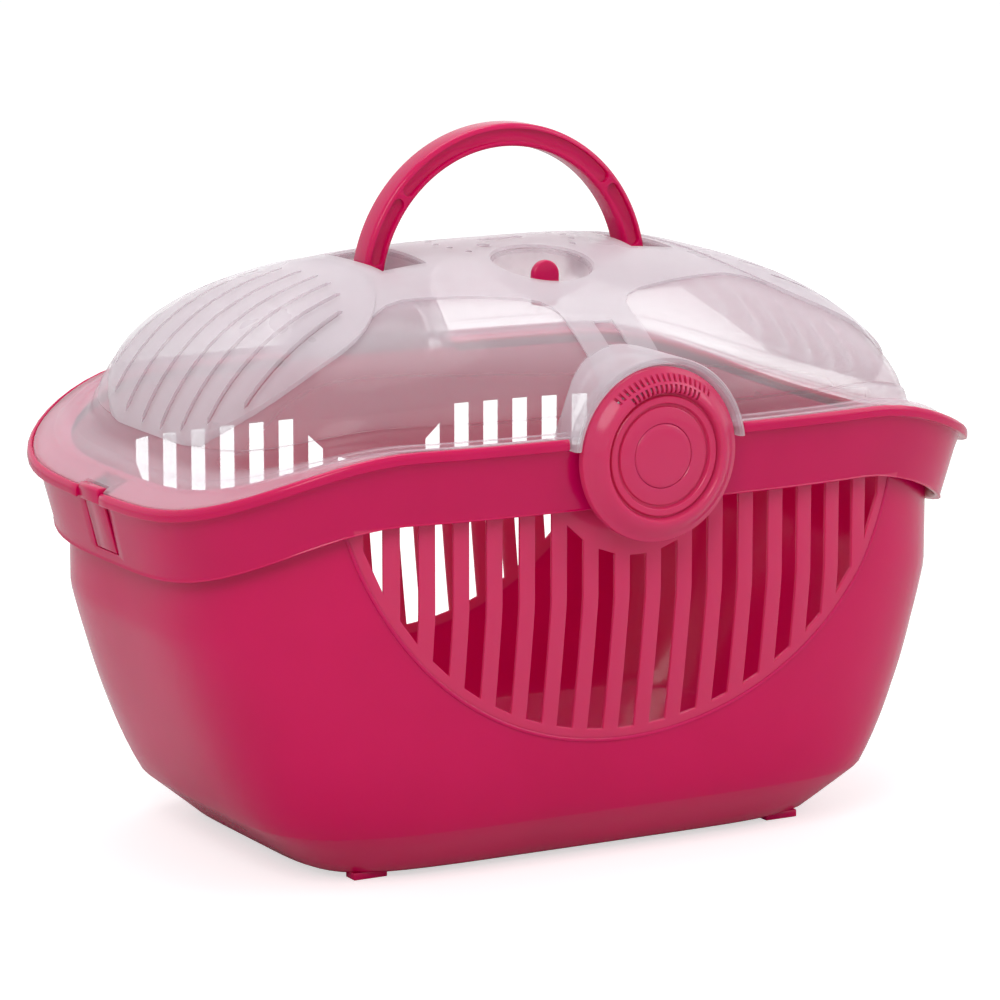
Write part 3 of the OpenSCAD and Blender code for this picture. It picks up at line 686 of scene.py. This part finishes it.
def tub_fittings():
    """Feet, the shelf behind each latch and the ears that carry its pin."""
    tub, lid, latch = sizes("tub"), sizes("lid"), sizes("latch")
    half_width = tub.rim_width / 2
    bm = bmesh.new()
    for sx in (-1, 1):
        for sy in (-1, 1):
            block(bm, (sx * 0.129 - 0.01, sy * 0.086 - 0.005, 0), (sx * 0.129 + 0.01, sy * 0.086 + 0.005, 0.0042))
    half = lid.collar + 0.001 + tub.wall
    pivot_y = half_width - latch.sink - 0.007
    pivot_z = latch.centre - latch.pivot_drop
    for s in (-1, 1):
        edge = sorted((s * (half_width - tub.lip_out - 0.0011), s * (half_width - tub.inset - 0.001)))
        block(bm, (-half, edge[0], tub.rim_z - 0.001 - tub.wall), (half, edge[1], tub.rim_z - 0.001))
        for x in (-0.00925, 0.00925):
            pin_mesh(bm, (x - 0.00325, s * pivot_y, pivot_z), (x + 0.00325, s * pivot_y, pivot_z), 0.0042)
            ear = sorted((s * pivot_y, s * (half_width - tub.inset - 0.001)))
            block(bm, (x - 0.0032, ear[0], pivot_z - 0.0041), (x + 0.0032, ear[1], pivot_z + 0.0041))
    bmesh.ops.recalc_face_normals(bm, faces=bm.faces)
    made = mesh_object(bm, "tub_fittings")
    soften(made, 0.0006)
    return made


def grille_line(s):
    """The raised line that frames the slots, on the front (s=-1) or rear."""
    tub, grille = sizes("tub"), sizes("grille")
    radius = grille.radius + 0.006
    centre = grille.low + grille.radius
    top = tub.rim_z - tub.skirt + 0.001
    reach = math.degrees(math.acos((centre - top) / radius))
    rings = []
    for i in range(81):
        angle = math.radians(-reach + 2 * reach * i / 80)
        along = Vector((math.cos(angle), 0, math.sin(angle)))
        across = Vector((math.sin(angle), 0, -math.cos(angle)))
        base = Vector((0, 0, centre)) + across * radius
        on_wall = wall_point(base.x, base.z)
        rings.append([on_wall + across * (0.0011 * math.cos(t)) + Vector((0, 0.0009 * math.sin(t), 0))
                      for t in (math.tau * j / 10 for j in range(10))])
    if s > 0:
        rings = [[Vector((-p.x, -p.y, p.z)) for p in r] for r in rings]
    bm = bmesh.new()
    loft(bm, rings, start=True, end=True)
    bmesh.ops.recalc_face_normals(bm, faces=bm.faces)
    return mesh_object(bm, "grille_line_front" if s < 0 else "grille_line_rear")


def disc_section():
    """Section of a latch disc: radius and height over its back, outside first."""
    latch = sizes("latch")
    r, d, w, c = latch.radius, latch.depth, 0.0022, latch.cap + 0.0002
    outer = [(0, 0), (0, 0.3), (0.0003, 0.36), (0.001, 0.4), (0.0022, 0.45), (0.0036, 0.55), (0.005, 0.67),
             (0.0065, 0.79), (0.008, 0.89), (0.0095, 0.965), (0.0105, 0.993), (0.0112, 1.0), (0.0119, 0.99),
             (0.0126, 0.93), (0.0131, 0.82), (0.0134, 0.66), (0.0137, 0.62), (0.0143, 0.62), (0.0146, 0.66),
             (0.0148, 0.76), (0.0152, 0.79), (0.018, 0.79), (0.0184, 0.76), (0.0187, 0.62), (0.019, 0.58),
             (0.0201, 0.58), (0.0204, 0.61), (0.0206, 0.69), (0.021, 0.71)]
    section = [(r - inset, share * d) for inset, share in outer]
    section += [(c + 0.0004, 0.71 * d), (c, 0.68 * d), (c, 0.58 * d - w), (r - 0.013, 0.58 * d - w),
                (r - 0.0122, 0.85 * d - w), (r - 0.011, d - w), (r - 0.009, 0.92 * d - w),
                (r - 0.0055, 0.66 * d - w), (r - 0.0035, 0.46 * d - w), (r - w, 0)]
    return section


def latch_disc(s):
    """A latch disc with its grip ribs and lugs, on the front (s=-1) or rear."""
    tub, latch = sizes("tub"), sizes("latch")
    back = tub.rim_width / 2 - latch.sink
    bm = bmesh.new()
    turned(bm, disc_section(), (0, s * back, latch.centre), (0, s, 0))
    made = mesh_object(bm, "latch_disc_front" if s < 0 else "latch_disc_rear")
    tools = bmesh.new()
    for first, reach, count, low in ((0.0070, 0.0058, latch.ribs, 0.5), (0.0126, 0.0044, latch.ribs - 4, 0.72)):
        for k in range(count):
            turn = math.radians((k - (count - 1) / 2) * 4.6)
            verts = block(tools, (-0.0008, 0, latch.radius - first), (0.0008, latch.depth, latch.radius - first + reach))
            bmesh.ops.rotate(tools, verts=verts, cent=(0, 0, 0), matrix=Matrix.Rotation(turn, 3, "Y"))
            bmesh.ops.translate(tools, verts=verts, vec=(0, low * latch.depth, 0))
    bmesh.ops.scale(tools, verts=tools.verts, vec=(1, s, 1))
    bmesh.ops.translate(tools, verts=tools.verts, vec=(0, s * back, latch.centre))
    combine(made, tools)
    lugs = bmesh.new()
    for x in (-0.016, 0.016):
        z = latch.centre - latch.pivot_drop
        y = s * (back - 0.007)
        pin_mesh(lugs, (x - 0.003, y, z), (x + 0.003, y, z), 0.0042)
        reach = sorted((y, s * (back + 0.5 * latch.depth)))
        block(lugs, (x - 0.0029, reach[0], z - 0.0038), (x + 0.0029, reach[1], z + 0.0026))
    lug = mesh_object(lugs, "latch_lugs_front" if s < 0 else "latch_lugs_rear")
    return made, lug


def latch_cap(s):
    tub, latch = sizes("tub"), sizes("latch")
    back = tub.rim_width / 2 - latch.sink
    d, r = latch.depth, latch.cap
    low = 0.58 * d - 0.0024
    section = [(0, low - 0.002), (r + 0.002, low - 0.002), (r + 0.002, low), (r, low), (r, 0.67 * d),
               (r - 0.0003, 0.71 * d), (r - 0.001, 0.74 * d), (r - 0.003, 0.76 * d), (r * 0.5, 0.785 * d),
               (0.0, 0.79 * d)]
    bm = bmesh.new()
    turned(bm, section, (0, s * back, latch.centre), (0, s, 0), 96, close=False)
    return mesh_object(bm, "latch_cap_front" if s < 0 else "latch_cap_rear")


def dome_solid(bm, grow, low=0.17):
    """The dome as a solid, down past its foot."""
    _, _, _, foot_a, foot_b = flange_sizes()
    rings = [ring(foot_a + grow, foot_b + grow, low, 0)] + [dome_ring(s, grow) for s in DOME_SHARES]
    loft(bm, rings, start=True, end=True)


def lid_dome():
    bm = bmesh.new()
    loft(bm, [dome_ring(s) for s in DOME_SHARES], end=True)
    bmesh.ops.recalc_face_normals(bm, faces=bm.faces)
    made = mesh_object(bm, "lid_dome")
    thicken(made, sizes("lid").wall)
    tools = lid_openings()
    collar_rooms(tools)
    combine(made, tools)
    return made


def lid_openings():
    """Everything that is cut through the dome: louvres, sockets, bowl and air holes."""
    lid = sizes("lid")
    bm = bmesh.new()
    leaf_slot_prisms(bm)
    for low, high in socket_blocks(0.0):
        block(bm, low, (high[0], high[1], lid.top + 0.01))
    sphere = bmesh.ops.create_uvsphere(bm, u_segments=64, v_segments=32, radius=lid.bowl_radius)["verts"]
    bmesh.ops.translate(bm, verts=sphere, vec=(0, -lid.bowl_y, lid.bowl_floor + lid.bowl_radius))
    for k in range(20):
        turn = math.tau * k / 20
        x, y = lid.vent_ring * math.cos(turn), lid.vent_ring * math.sin(turn)
        if math.hypot(x, y + lid.bowl_y) > lid.bowl_radius + 0.002:
            pin_mesh(bm, (x, y, lid.top - 0.02), (x, y, lid.top + 0.02), lid.vent, 24)
    pin_mesh(bm, (-0.018, -0.014, lid.top - 0.02), (-0.018, -0.014, lid.top + 0.02), 2 * lid.vent, 32)
    return bm


def collar_rooms(bm):
    """The room behind each latch's back wall, open to the inside of the lid."""
    latch, lid = sizes("latch"), sizes("lid")
    _, _, z, _, foot_b = flange_sizes()
    back = sizes("tub").rim_width / 2 - latch.sink - 0.0084
    radius, low = latch.radius + lid.collar_gap - 0.002, z + 0.006
    turns = [math.acos((low - latch.centre) / radius) * (k / 16 - 1) for k in range(33)]
    for s in (-1, 1):
        face = bm.faces.new([bm.verts.new((radius * math.sin(t), s * back, latch.centre + radius * math.cos(t)))
                             for t in turns])
        made = bmesh.ops.extrude_face_region(bm, geom=[face])["geom"]
        bmesh.ops.translate(bm, verts=[v for v in made if isinstance(v, bmesh.types.BMVert)],
                            vec=(0, s * (foot_b - 0.052 - back), 0))


def lid_flange():
    """Flange, raised bead and the rounded step up to the dome's foot."""
    lid = sizes("lid")
    _, _, z, _, _ = flange_sizes()
    w, f, top = lid.wall, lid.flange, z + lid.wall
    section = [(0, z), (0, top - 0.0006), (0.0005, top), (0.0042, top), (0.0048, top + 0.0008),
               (0.0058, top + 0.0016), (0.0070, top + 0.0018), (0.0082, top + 0.0014), (0.0090, top + 0.0006),
               (0.0096, top + 0.0003), (f - 0.0016, top + 0.0003), (f - 0.0007, top + 0.0009), (f - 0.0001, top + 0.0024),
               (f + 0.0003, top + 0.0045), (f + 0.0008, top + 0.0064), (f + 0.0017, top + 0.0080),
               (f + lid.bead_in - 0.0001, top + lid.bead)]
    bm = bmesh.new()
    loft(bm, [flange_ring(inset, height) for inset, height in section])
    bmesh.ops.recalc_face_normals(bm, faces=bm.faces)
    made = mesh_object(bm, "lid_flange")
    thicken(made, w - 0.0002)
    tools = bmesh.new()
    tub = sizes("tub")
    for s in (-1, 1):
        ends = sorted((s * (tub.rim_length / 2 + 0.01), s * (tub.rim_length / 2 - 0.0072)))
        block(tools, (ends[0], -0.0142, 0.15), (ends[1], 0.0142, 0.26))
    combine(made, tools)
    return made


def leaf_edge(x):
    """Half width of a leaf panel at the distance x from the middle of the lid."""
    lid = sizes("lid")
    if x < lid.leaf_mid:
        return lid.leaf_half * math.sqrt(max(0.0, 1 - ((lid.leaf_mid - x) / lid.leaf_in) ** 2))
    out = leaf_out()
    return lid.leaf_half * max(0.0, 1 - ((x - lid.leaf_mid) / out) ** 2.6) ** (1 / 2.6)


def leaf_out():
    """Reach of a leaf from its broadest place to the dome's foot."""
    return flange_sizes()[3] + 0.004 - sizes("lid").leaf_mid


def leaf_outline(s):
    lid = sizes("lid")
    turns = [math.pi * k / 32 for k in range(17)]
    inner = [lid.leaf_mid - lid.leaf_in * math.cos(t) for t in turns]
    outer = [lid.leaf_mid + leaf_out() * math.sin(t) for t in turns[1:]]
    upper = [(x, leaf_edge(x)) for x in inner + outer]
    lower = [(x, -y) for x, y in reversed(upper[1:-1])]
    return [(s * x, s * y) for x, y in upper + lower]


def leaf_slot_prisms(bm):
    """The curved louvre slots of both leaf panels."""
    lid = sizes("lid")
    half = lid.leaf_slot / 2
    for k in range(8):
        f = (k - 3.5) / 4.4
        start = lid.leaf_mid - 0.04 * math.sqrt(1 - f * f)
        stop = lid.leaf_mid + (leaf_out() - 0.004) * (1 - (abs(f) * 1.04) ** 2.6) ** (1 / 2.6)
        line = []
        for i in range(13):
            t = i / 12
            line.append((start + t * (stop - start), f * lid.leaf_half * (1 - 0.14 * (1 - t) ** 2)))
        side = [(x, y - half) for x, y in line]
        other = [(x, y + half) for x, y in reversed(line)]
        tip = [(line[-1][0] + 0.8 * half, line[-1][1])]
        tail = [(line[0][0] - 0.8 * half, line[0][1])]
        for s in (-1, 1):
            prism(bm, [(s * x, s * y) for x, y in side + tip + other + tail], 0.19, 0.34)


def raised_shell(name, height, points):
    """A thin shell on the dome, inside a flat outline."""
    bm = bmesh.new()
    outer = [dome_ring(s, height) for s in DOME_SHARES]
    inner = [dome_ring(s, 0.0001) for s in reversed(DOME_SHARES)]
    loft(bm, outer + inner, close=True)
    bmesh.ops.recalc_face_normals(bm, faces=bm.faces)
    made = mesh_object(bm, name)
    tool = bmesh.new()
    prism(tool, points, 0.17, 0.36)
    combine(made, tool, "INTERSECT")
    return made


def leaf_panel(s):
    lid = sizes("lid")
    made = raised_shell("leaf_panel_right" if s > 0 else "leaf_panel_left", lid.leaf, leaf_outline(s))
    cuts = bmesh.new()
    leaf_slot_prisms(cuts)
    combine(made, cuts)
    return made


def saddle_outline():
    """The frosted saddle between the leaf panels, with two straps down to each latch."""
    foot_b = flange_sizes()[4]
    edge = [(0.0, 0.112), (0.006, 0.112), (0.006, foot_b), (0.021, foot_b), (0.021, 0.104), (0.0225, 0.098),
            (0.027, 0.092), (0.036, 0.087), (0.059, 0.081), (0.084, 0.0755), (0.1, 0.0725), (0.11, 0.074),
            (0.122, 0.081), (0.13, 0.06), (0.13, 0.0)]
    right = [(x, -y) for x, y in edge] + [(x, y) for x, y in reversed(edge[:-1])]
    left = [(-x, y) for x, y in reversed(right[1:-1])]
    return right + left


def socket_blocks(wall):
    """The wells that the handle's legs lean over in, grown by a wall."""
    handle = sizes("handle")
    near = handle.radius - handle.thick - handle.socket_in - wall
    far = handle.radius + 0.0015 + wall
    floor = handle.pivot - 0.0085 - wall
    half = handle.socket_half + wall
    return [((near, -half, floor), (far, half, 0.34)), ((-far, -half, floor), (-near, half, 0.34))]


def lid_saddle():
    made = raised_shell("lid_saddle", sizes("lid").saddle, saddle_outline())
    tools = lid_openings()
    for s in (-1, 1):
        prism(tools, leaf_outline(s), 0.17, 0.36)
    combine(made, tools)
    return made


def lid_wells():
    """Handle sockets, pivot bearings and the finger bowl under the dome."""
    lid, handle = sizes("lid"), sizes("handle")
    bm = bmesh.new()
    inner = handle.radius - handle.thick
    for low, high in socket_blocks(0.0018):
        block(bm, low, high)
    for s in (-1, 1):
        ends = sorted((s * (inner - 0.0005), s * (inner - handle.pin_length - 0.0015)))
        block(bm, (ends[0], -0.007, handle.pivot - 0.007), (ends[1], 0.007, handle.pivot + 0.03))
    sphere = bmesh.ops.create_uvsphere(bm, u_segments=64, v_segments=40, radius=lid.bowl_radius + 0.002)["verts"]
    bmesh.ops.translate(bm, verts=sphere, vec=(0, -lid.bowl_y, lid.bowl_floor + lid.bowl_radius))
    made = mesh_object(bm, "lid_wells")
    solid = bmesh.new()
    dome_solid(solid, -0.0005)
    combine(made, solid, "INTERSECT")
    tools = lid_openings()
    for s in (-1, 1):
        pin_mesh(tools, (s * (inner - handle.pin_length - 0.0003), 0, handle.pivot),
                 (s * (inner + 0.003), 0, handle.pivot), handle.pin + 0.00005)
    pin_mesh(tools, (0, -lid.bowl_y, lid.bowl_floor - 0.01), (0, -lid.bowl_y, lid.bowl_floor + 0.01), 0.00305)
    combine(made, tools)
    return made


def latch_collar(s):
    """The white collar that frames a latch disc, on the front (s=-1) or rear."""
    tub, lid, latch = sizes("tub"), sizes("lid"), sizes("latch")
    front = tub.rim_width / 2 + lid.collar_out
    foot_b = flange_sizes()[4]
    inner, outer = latch.radius + lid.collar_gap, lid.collar
    start = foot_b - 0.042
    middle = (inner + outer) / 2
    section = [(inner, start), (outer, start), (outer, front - 0.0018), (outer - 0.0006, front - 0.0006),
               (middle, front), (inner + 0.0006, front - 0.0006), (inner, front - 0.0018)]
    bm = bmesh.new()
    turned(bm, section, (0, 0, latch.centre), (0, s, 0), 128)
    bmesh.ops.bisect_plane(bm, geom=bm.verts[:] + bm.edges[:] + bm.faces[:], plane_co=(0, 0, tub.rim_z - 0.0005),
                           plane_no=(0, 0, -1), clear_outer=True)
    bmesh.ops.holes_fill(bm, edges=[e for e in bm.edges if e.is_boundary])
    bmesh.ops.recalc_face_normals(bm, faces=bm.faces)
    made = mesh_object(bm, "latch_collar_front" if s < 0 else "latch_collar_rear")
    solid = bmesh.new()
    dome_solid(solid, -0.001)
    combine(made, solid)
    soften(made, 0.0004, 2, 60)
    return made


def collar_back(s):
    """The thin wall that closes the lid behind a latch disc."""
    tub, lid, latch = sizes("tub"), sizes("lid"), sizes("latch")
    back = tub.rim_width / 2 - latch.sink - 0.0062
    bm = bmesh.new()
    pin_mesh(bm, (0, s * back, latch.centre), (0, s * (back - 0.0022), latch.centre), latch.radius + 0.0016, 128)
    bmesh.ops.bisect_plane(bm, geom=bm.verts[:] + bm.edges[:] + bm.faces[:], plane_co=(0, 0, tub.rim_z - 0.0005),
                           plane_no=(0, 0, -1), clear_outer=True)
    bmesh.ops.holes_fill(bm, edges=[e for e in bm.edges if e.is_boundary])
    bmesh.ops.recalc_face_normals(bm, faces=bm.faces)
    return mesh_object(bm, "collar_back_front" if s < 0 else "collar_back_rear")


def handle_bow():
    """The carry handle: a rounded bar swept in a half circle, with moulded pockets."""
    handle = sizes("handle")
    low, high, half = handle.radius - handle.thick, handle.radius, handle.depth / 2
    round_r, border = 0.0024, 0.0028
    corner = [(math.cos(a), math.sin(a)) for a in (math.radians(90 * k / 5) for k in range(6))]
    section = []
    for cx, cy, turn in ((high - round_r, half - round_r, 0), (low + round_r, half - round_r, 1),
                         (low + round_r, -half + round_r, 2), (high - round_r, -half + round_r, 3)):
        for x, y in corner:
            for _ in range(turn):
                x, y = -y, x
            section.append((cx + round_r * x, cy + round_r * y))
    bm = bmesh.new()
    verts = [bm.verts.new((x, y, handle.centre)) for x, y in section]
    edges = [bm.edges.new((verts[i], verts[(i + 1) % len(verts)])) for i in range(len(verts))]
    bmesh.ops.spin(bm, geom=verts + edges, cent=(0, 0, handle.centre), axis=(0, -1, 0), angle=math.pi, steps=96)
    bmesh.ops.holes_fill(bm, edges=[e for e in bm.edges if e.is_boundary])
    bmesh.ops.recalc_face_normals(bm, faces=bm.faces)
    made = mesh_object(bm, "carry_bow")
    tools = bmesh.new()
    for start, span in ((14, 22), (43, 94), (144, 22)):
        for s in (-1, 1):
            pocket(tools, low + border, high - border, s, half, handle, start, span)
    combine(made, tools)
    soften(made, 0.0005, 2, 50)
    pins = bmesh.new()
    for s in (-1, 1):
        pin_mesh(pins, (s * (low - handle.pin_length + 0.0005), 0, handle.pivot),
                 (s * (low + 0.002), 0, handle.pivot), handle.pin)
    return made, mesh_object(pins, "carry_pins")


def pocket(bm, low, high, s, half, handle, start, span):
    """A curved pocket with round ends in a face of the bow, as a cutter."""
    middle, radius = (low + high) / 2, (high - low) / 2
    steps = max(8, int(span / 2))
    line = [math.radians(start + span * i / steps) for i in range(steps + 1)]
    end = radius / middle
    caps = [math.pi * k / 8 for k in range(1, 8)]
    outer = [(high, a) for a in line]
    turn = [(middle + radius * math.cos(c), line[-1] + end * math.sin(c)) for c in caps]
    inner = [(low, a) for a in reversed(line)]
    back = [(middle - radius * math.cos(c), line[0] - end * math.sin(c)) for c in caps]
    verts = []
    for r, a in outer + turn + inner + back:
        verts.append(bm.verts.new((r * math.cos(a), s * (half - handle.pocket), handle.centre + r * math.sin(a))))
    face = bm.faces.new(verts)
    made = bmesh.ops.extrude_face_region(bm, geom=[face])["geom"]
    bmesh.ops.translate(bm, verts=[v for v in made if isinstance(v, bmesh.types.BMVert)], vec=(0, s * 0.01, 0))


def knob_fin():
    """The turn knob: a rounded fin on a low disc and its stem."""
    lid = sizes("lid")
    base = lid.bowl_floor + 0.0014
    top, round_r, half = lid.bowl_floor + 0.019, 0.008, 0.00225
    profile = [(-round_r, base + 0.001), (round_r, base + 0.001)]
    for k in range(0, 17):
        angle = math.pi * k / 16
        profile.append((round_r * math.cos(angle), top - round_r + round_r * math.sin(angle)))
    bm = bmesh.new()
    face = bm.faces.new([bm.verts.new((x, -lid.bowl_y - half, z)) for x, z in profile])
    made = bmesh.ops.extrude_face_region(bm, geom=[face])["geom"]
    bmesh.ops.translate(bm, verts=[v for v in made if isinstance(v, bmesh.types.BMVert)], vec=(0, 2 * half, 0))
    pin_mesh(bm, (0, -lid.bowl_y, base), (0, -lid.bowl_y, base + 0.0022), round_r)
    pin_mesh(bm, (0, -lid.bowl_y, lid.bowl_floor - 0.006), (0, -lid.bowl_y, base + 0.001), 0.003)
    bmesh.ops.recalc_face_normals(bm, faces=bm.faces)
    made = mesh_object(bm, "knob_fin")
    soften(made, 0.0011, 3, 50)
    return made


def end_clip(s):
    """A spring clip in the skirt at one end."""
    tub = sizes("tub")
    node = "right_end_clip" if s > 0 else "left_end_clip"
    low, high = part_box(node)
    a = tub.rim_length / 2
    lip_z = tub.rim_z - tub.rim_fall
    top_x = a - tub.lip_out
    skirt_low = tub.rim_z - tub.skirt - SKIRT_FALL * fall(top_x - tub.draft)
    low_x = top_x - tub.draft * 0.027 / (lip_z - skirt_low)
    head, hook_x = high[2], a - tub.upstand - 0.004
    profile = [(low_x, low[2]), (top_x, lip_z - 0.001), (a - 0.001, lip_z + 0.0005), (a - 0.0005, head - 0.001),
               (a - 0.002, head), (hook_x + 0.0008, head), (hook_x, head - 0.0008), (hook_x, head - 0.002),
               (a - tub.upstand - 0.0015, head - 0.0032), (top_x - tub.wall, lip_z - 0.004), (low_x - tub.wall, low[2])]
    bm = bmesh.new()
    face = bm.faces.new([bm.verts.new((s * x, -0.012, z)) for x, z in profile])
    made = bmesh.ops.extrude_face_region(bm, geom=[face])["geom"]
    bmesh.ops.translate(bm, verts=[v for v in made if isinstance(v, bmesh.types.BMVert)], vec=(0, 0.024, 0))
    bmesh.ops.recalc_face_normals(bm, faces=bm.faces)
    made = mesh_object(bm, "clip_right" if s > 0 else "clip_left")
    soften(made, 0.0005, 2, 30)
    return made, node


# Operators

class CARRIER_OT_tub(bpy.types.Operator):
    """Moulded tub with its grilles, rim, feet and latch ears"""
    bl_idname = "carrier.tub"
    bl_label = "Tub"

    def execute(self, context):
        for piece in (tub_wall(), tub_rim(), tub_fittings(), grille_line(-1), grille_line(1)):
            dress(piece, "tub", "pink_plastic", pink_plastic(), "tub_shell")
        return {"FINISHED"}


class CARRIER_OT_latches(bpy.types.Operator):
    """Both latch discs with their caps and lugs"""
    bl_idname = "carrier.latches"
    bl_label = "Latches"

    def execute(self, context):
        for s, side in ((-1, "front"), (1, "rear")):
            disc, lug = latch_disc(s)
            for piece in (disc, lug):
                dress(piece, side + "_latch", "pink_plastic", pale_pink_plastic(), side + "_latch_disc")
            dress(latch_cap(s), side + "_latch", "pink_plastic", pale_pink_plastic(), side + "_latch_cap")
        return {"FINISHED"}


class CARRIER_OT_lid(bpy.types.Operator):
    """Clear dome and its flange"""
    bl_idname = "carrier.lid"
    bl_label = "Lid dome"

    def execute(self, context):
        dress(lid_dome(), "lid", "clear_plastic", clear_plastic(), "lid_shell")
        dress(lid_flange(), "lid", "clear_plastic", flange_plastic(), "lid_shell")
        return {"FINISHED"}


class CARRIER_OT_panels(bpy.types.Operator):
    """Frosted leaf panels, saddle, wells and latch collars"""
    bl_idname = "carrier.panels"
    bl_label = "Frosted panels"

    def execute(self, context):
        for piece in (leaf_panel(-1), leaf_panel(1), lid_saddle(), lid_wells(), latch_collar(-1), latch_collar(1),
                      collar_back(-1), collar_back(1)):
            dress(piece, "lid", "clear_plastic", frosted_plastic(), "lid_shell")
        return {"FINISHED"}


class CARRIER_OT_handle(bpy.types.Operator):
    """Carry handle with its pins"""
    bl_idname = "carrier.handle"
    bl_label = "Handle"

    def execute(self, context):
        for piece in handle_bow():
            dress(piece, "handle", "pink_plastic", pink_plastic(), "carry_handle")
        return {"FINISHED"}


class CARRIER_OT_small_parts(bpy.types.Operator):
    """Turn knob, end clips, and the finish of the pins and the knob's washer"""
    bl_idname = "carrier.small_parts"
    bl_label = "Small parts"

    def execute(self, context):
        dress(knob_fin(), "knob", "pink_plastic", pink_plastic(), "turn_knob")
        for s, body in ((-1, "left_clip"), (1, "right_clip")):
            piece, node = end_clip(s)
            dress(piece, body, "pink_plastic", pink_plastic(), node)
        for name in ("front_latch_pin", "rear_latch_pin", "knob_retainer"):
            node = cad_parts[name]
            node.data.materials.clear()
            node.data.materials.append(pink_plastic())
        return {"FINISHED"}


class CARRIER_OT_stage(bpy.types.Operator):
    """Pale floor, soft lights and the camera"""
    bl_idname = "carrier.stage"
    bl_label = "Stage"

    def execute(self, context):
        make_floor()
        make_world()
        area_light("key", (-1.6, -1.7, 1.9), 1.5, 26)
        area_light("fill", (1.9, -1.3, 1.3), 1.6, 13)
        area_light("top", (0.1, 0.5, 2.3), 1.6, 18)
        make_camera()
        bpy.context.scene.view_settings.view_transform = "Standard"
        return {"FINISHED"}


def shown_white(tree, shader, level, low):
    """Drives a shader's strength up to white for what the camera and reflections see."""
    path = add(tree, "ShaderNodeLightPath")
    best = add(tree, "ShaderNodeMath", operation="MAXIMUM")
    tree.links.new(path.outputs["Is Camera Ray"], best.inputs[0])
    tree.links.new(path.outputs["Is Glossy Ray"], best.inputs[1])
    both = add(tree, "ShaderNodeMath", operation="MAXIMUM")
    tree.links.new(best.outputs[0], both.inputs[0])
    tree.links.new(path.outputs["Is Transmission Ray"], both.inputs[1])
    tree.links.new(ranged(tree, both.outputs[0], low, level, 0, 1), shader.inputs["Strength"])


def make_world():
    world = bpy.data.worlds.new("studio")
    bpy.context.scene.world = world
    world.use_nodes = True
    shader = world.node_tree.nodes["Background"]
    shader.inputs["Color"].default_value = (1, 1, 1, 1)
    shown_white(world.node_tree, shader, 1.0, 0.55)


def make_floor():
    bm = bmesh.new()
    bmesh.ops.create_grid(bm, x_segments=8, y_segments=8, size=6)
    floor = mesh_object(bm, "floor")
    made, tree = new_material("pale_floor")
    shader = tree.nodes["Principled BSDF"]
    shader.inputs["Base Color"].default_value = (*sizes("finish").floor, 1)
    shader.inputs["Roughness"].default_value = 0.85
    shader.inputs["Emission Color"].default_value = (1, 1, 1, 1)
    path = add(tree, "ShaderNodeLightPath")
    tree.links.new(ranged(tree, path.outputs["Is Camera Ray"], 0, 0.6, 0, 1), shader.inputs["Emission Strength"])
    floor.data.materials.append(made)


def area_light(name, place, size, power):
    light = bpy.data.lights.new(name, "AREA")
    light.shape = "DISK"
    light.size = size
    light.energy = power
    lamp = bpy.data.objects.new(name, light)
    lamp.location = place
    lamp.rotation_euler = (Vector((0, 0, 0.16)) - Vector(place)).to_track_quat("-Z", "Y").to_euler()
    bpy.context.scene.collection.objects.link(lamp)


def make_camera():
    """The photograph's view: from the left front, a little above the rim."""
    camera = bpy.data.objects.new("camera", bpy.data.cameras.new("camera"))
    bpy.context.scene.collection.objects.link(camera)
    bpy.context.scene.camera = camera
    camera.data.lens = 181.58
    camera.data.sensor_width = 36
    camera.data.clip_end = 50
    aim, distance = Vector((0.0001, 0, 0.1777)), 2.7938
    turn, rise = math.radians(-29), math.radians(11.16)
    camera.location = aim + distance * Vector(
        (math.sin(turn) * math.cos(rise), -math.cos(turn) * math.cos(rise), math.sin(rise)))
    camera.rotation_euler = (aim - camera.location).to_track_quat("-Z", "Y").to_euler()


class CARRIER_PT_panel(bpy.types.Panel):
    """Steps that build the carrier"""
    bl_label = "Pet carrier"
    bl_idname = "CARRIER_PT_panel"
    bl_space_type = "VIEW_3D"
    bl_region_type = "UI"
    bl_category = "Carrier"

    def draw(self, context):
        for step in STEPS:
            self.layout.operator(step.bl_idname)


STEPS = (CARRIER_OT_tub, CARRIER_OT_latches, CARRIER_OT_lid, CARRIER_OT_panels, CARRIER_OT_handle,
         CARRIER_OT_small_parts, CARRIER_OT_stage)
GROUPS = {"tub": TubSizes, "grille": GrilleSizes, "latch": LatchSizes, "lid": LidSizes, "handle": HandleSizes,
          "finish": Finishes}


def register():
    for name, group in GROUPS.items():
        bpy.utils.register_class(group)
        setattr(bpy.types.Scene, "carrier_" + name, PointerProperty(type=group))
    for item in (*STEPS, CARRIER_PT_panel):
        bpy.utils.register_class(item)


def unregister():
    for item in reversed((*STEPS, CARRIER_PT_panel)):
        bpy.utils.unregister_class(item)
    for name, group in GROUPS.items():
        delattr(bpy.types.Scene, "carrier_" + name)
        bpy.utils.unregister_class(group)


def main():
    register()
    bpy.ops.carrier.tub()
    bpy.ops.carrier.latches()
    bpy.ops.carrier.lid()
    bpy.ops.carrier.panels()
    bpy.ops.carrier.handle()
    bpy.ops.carrier.small_parts()
    bpy.ops.carrier.stage()


if __name__ == "__main__":
    main()
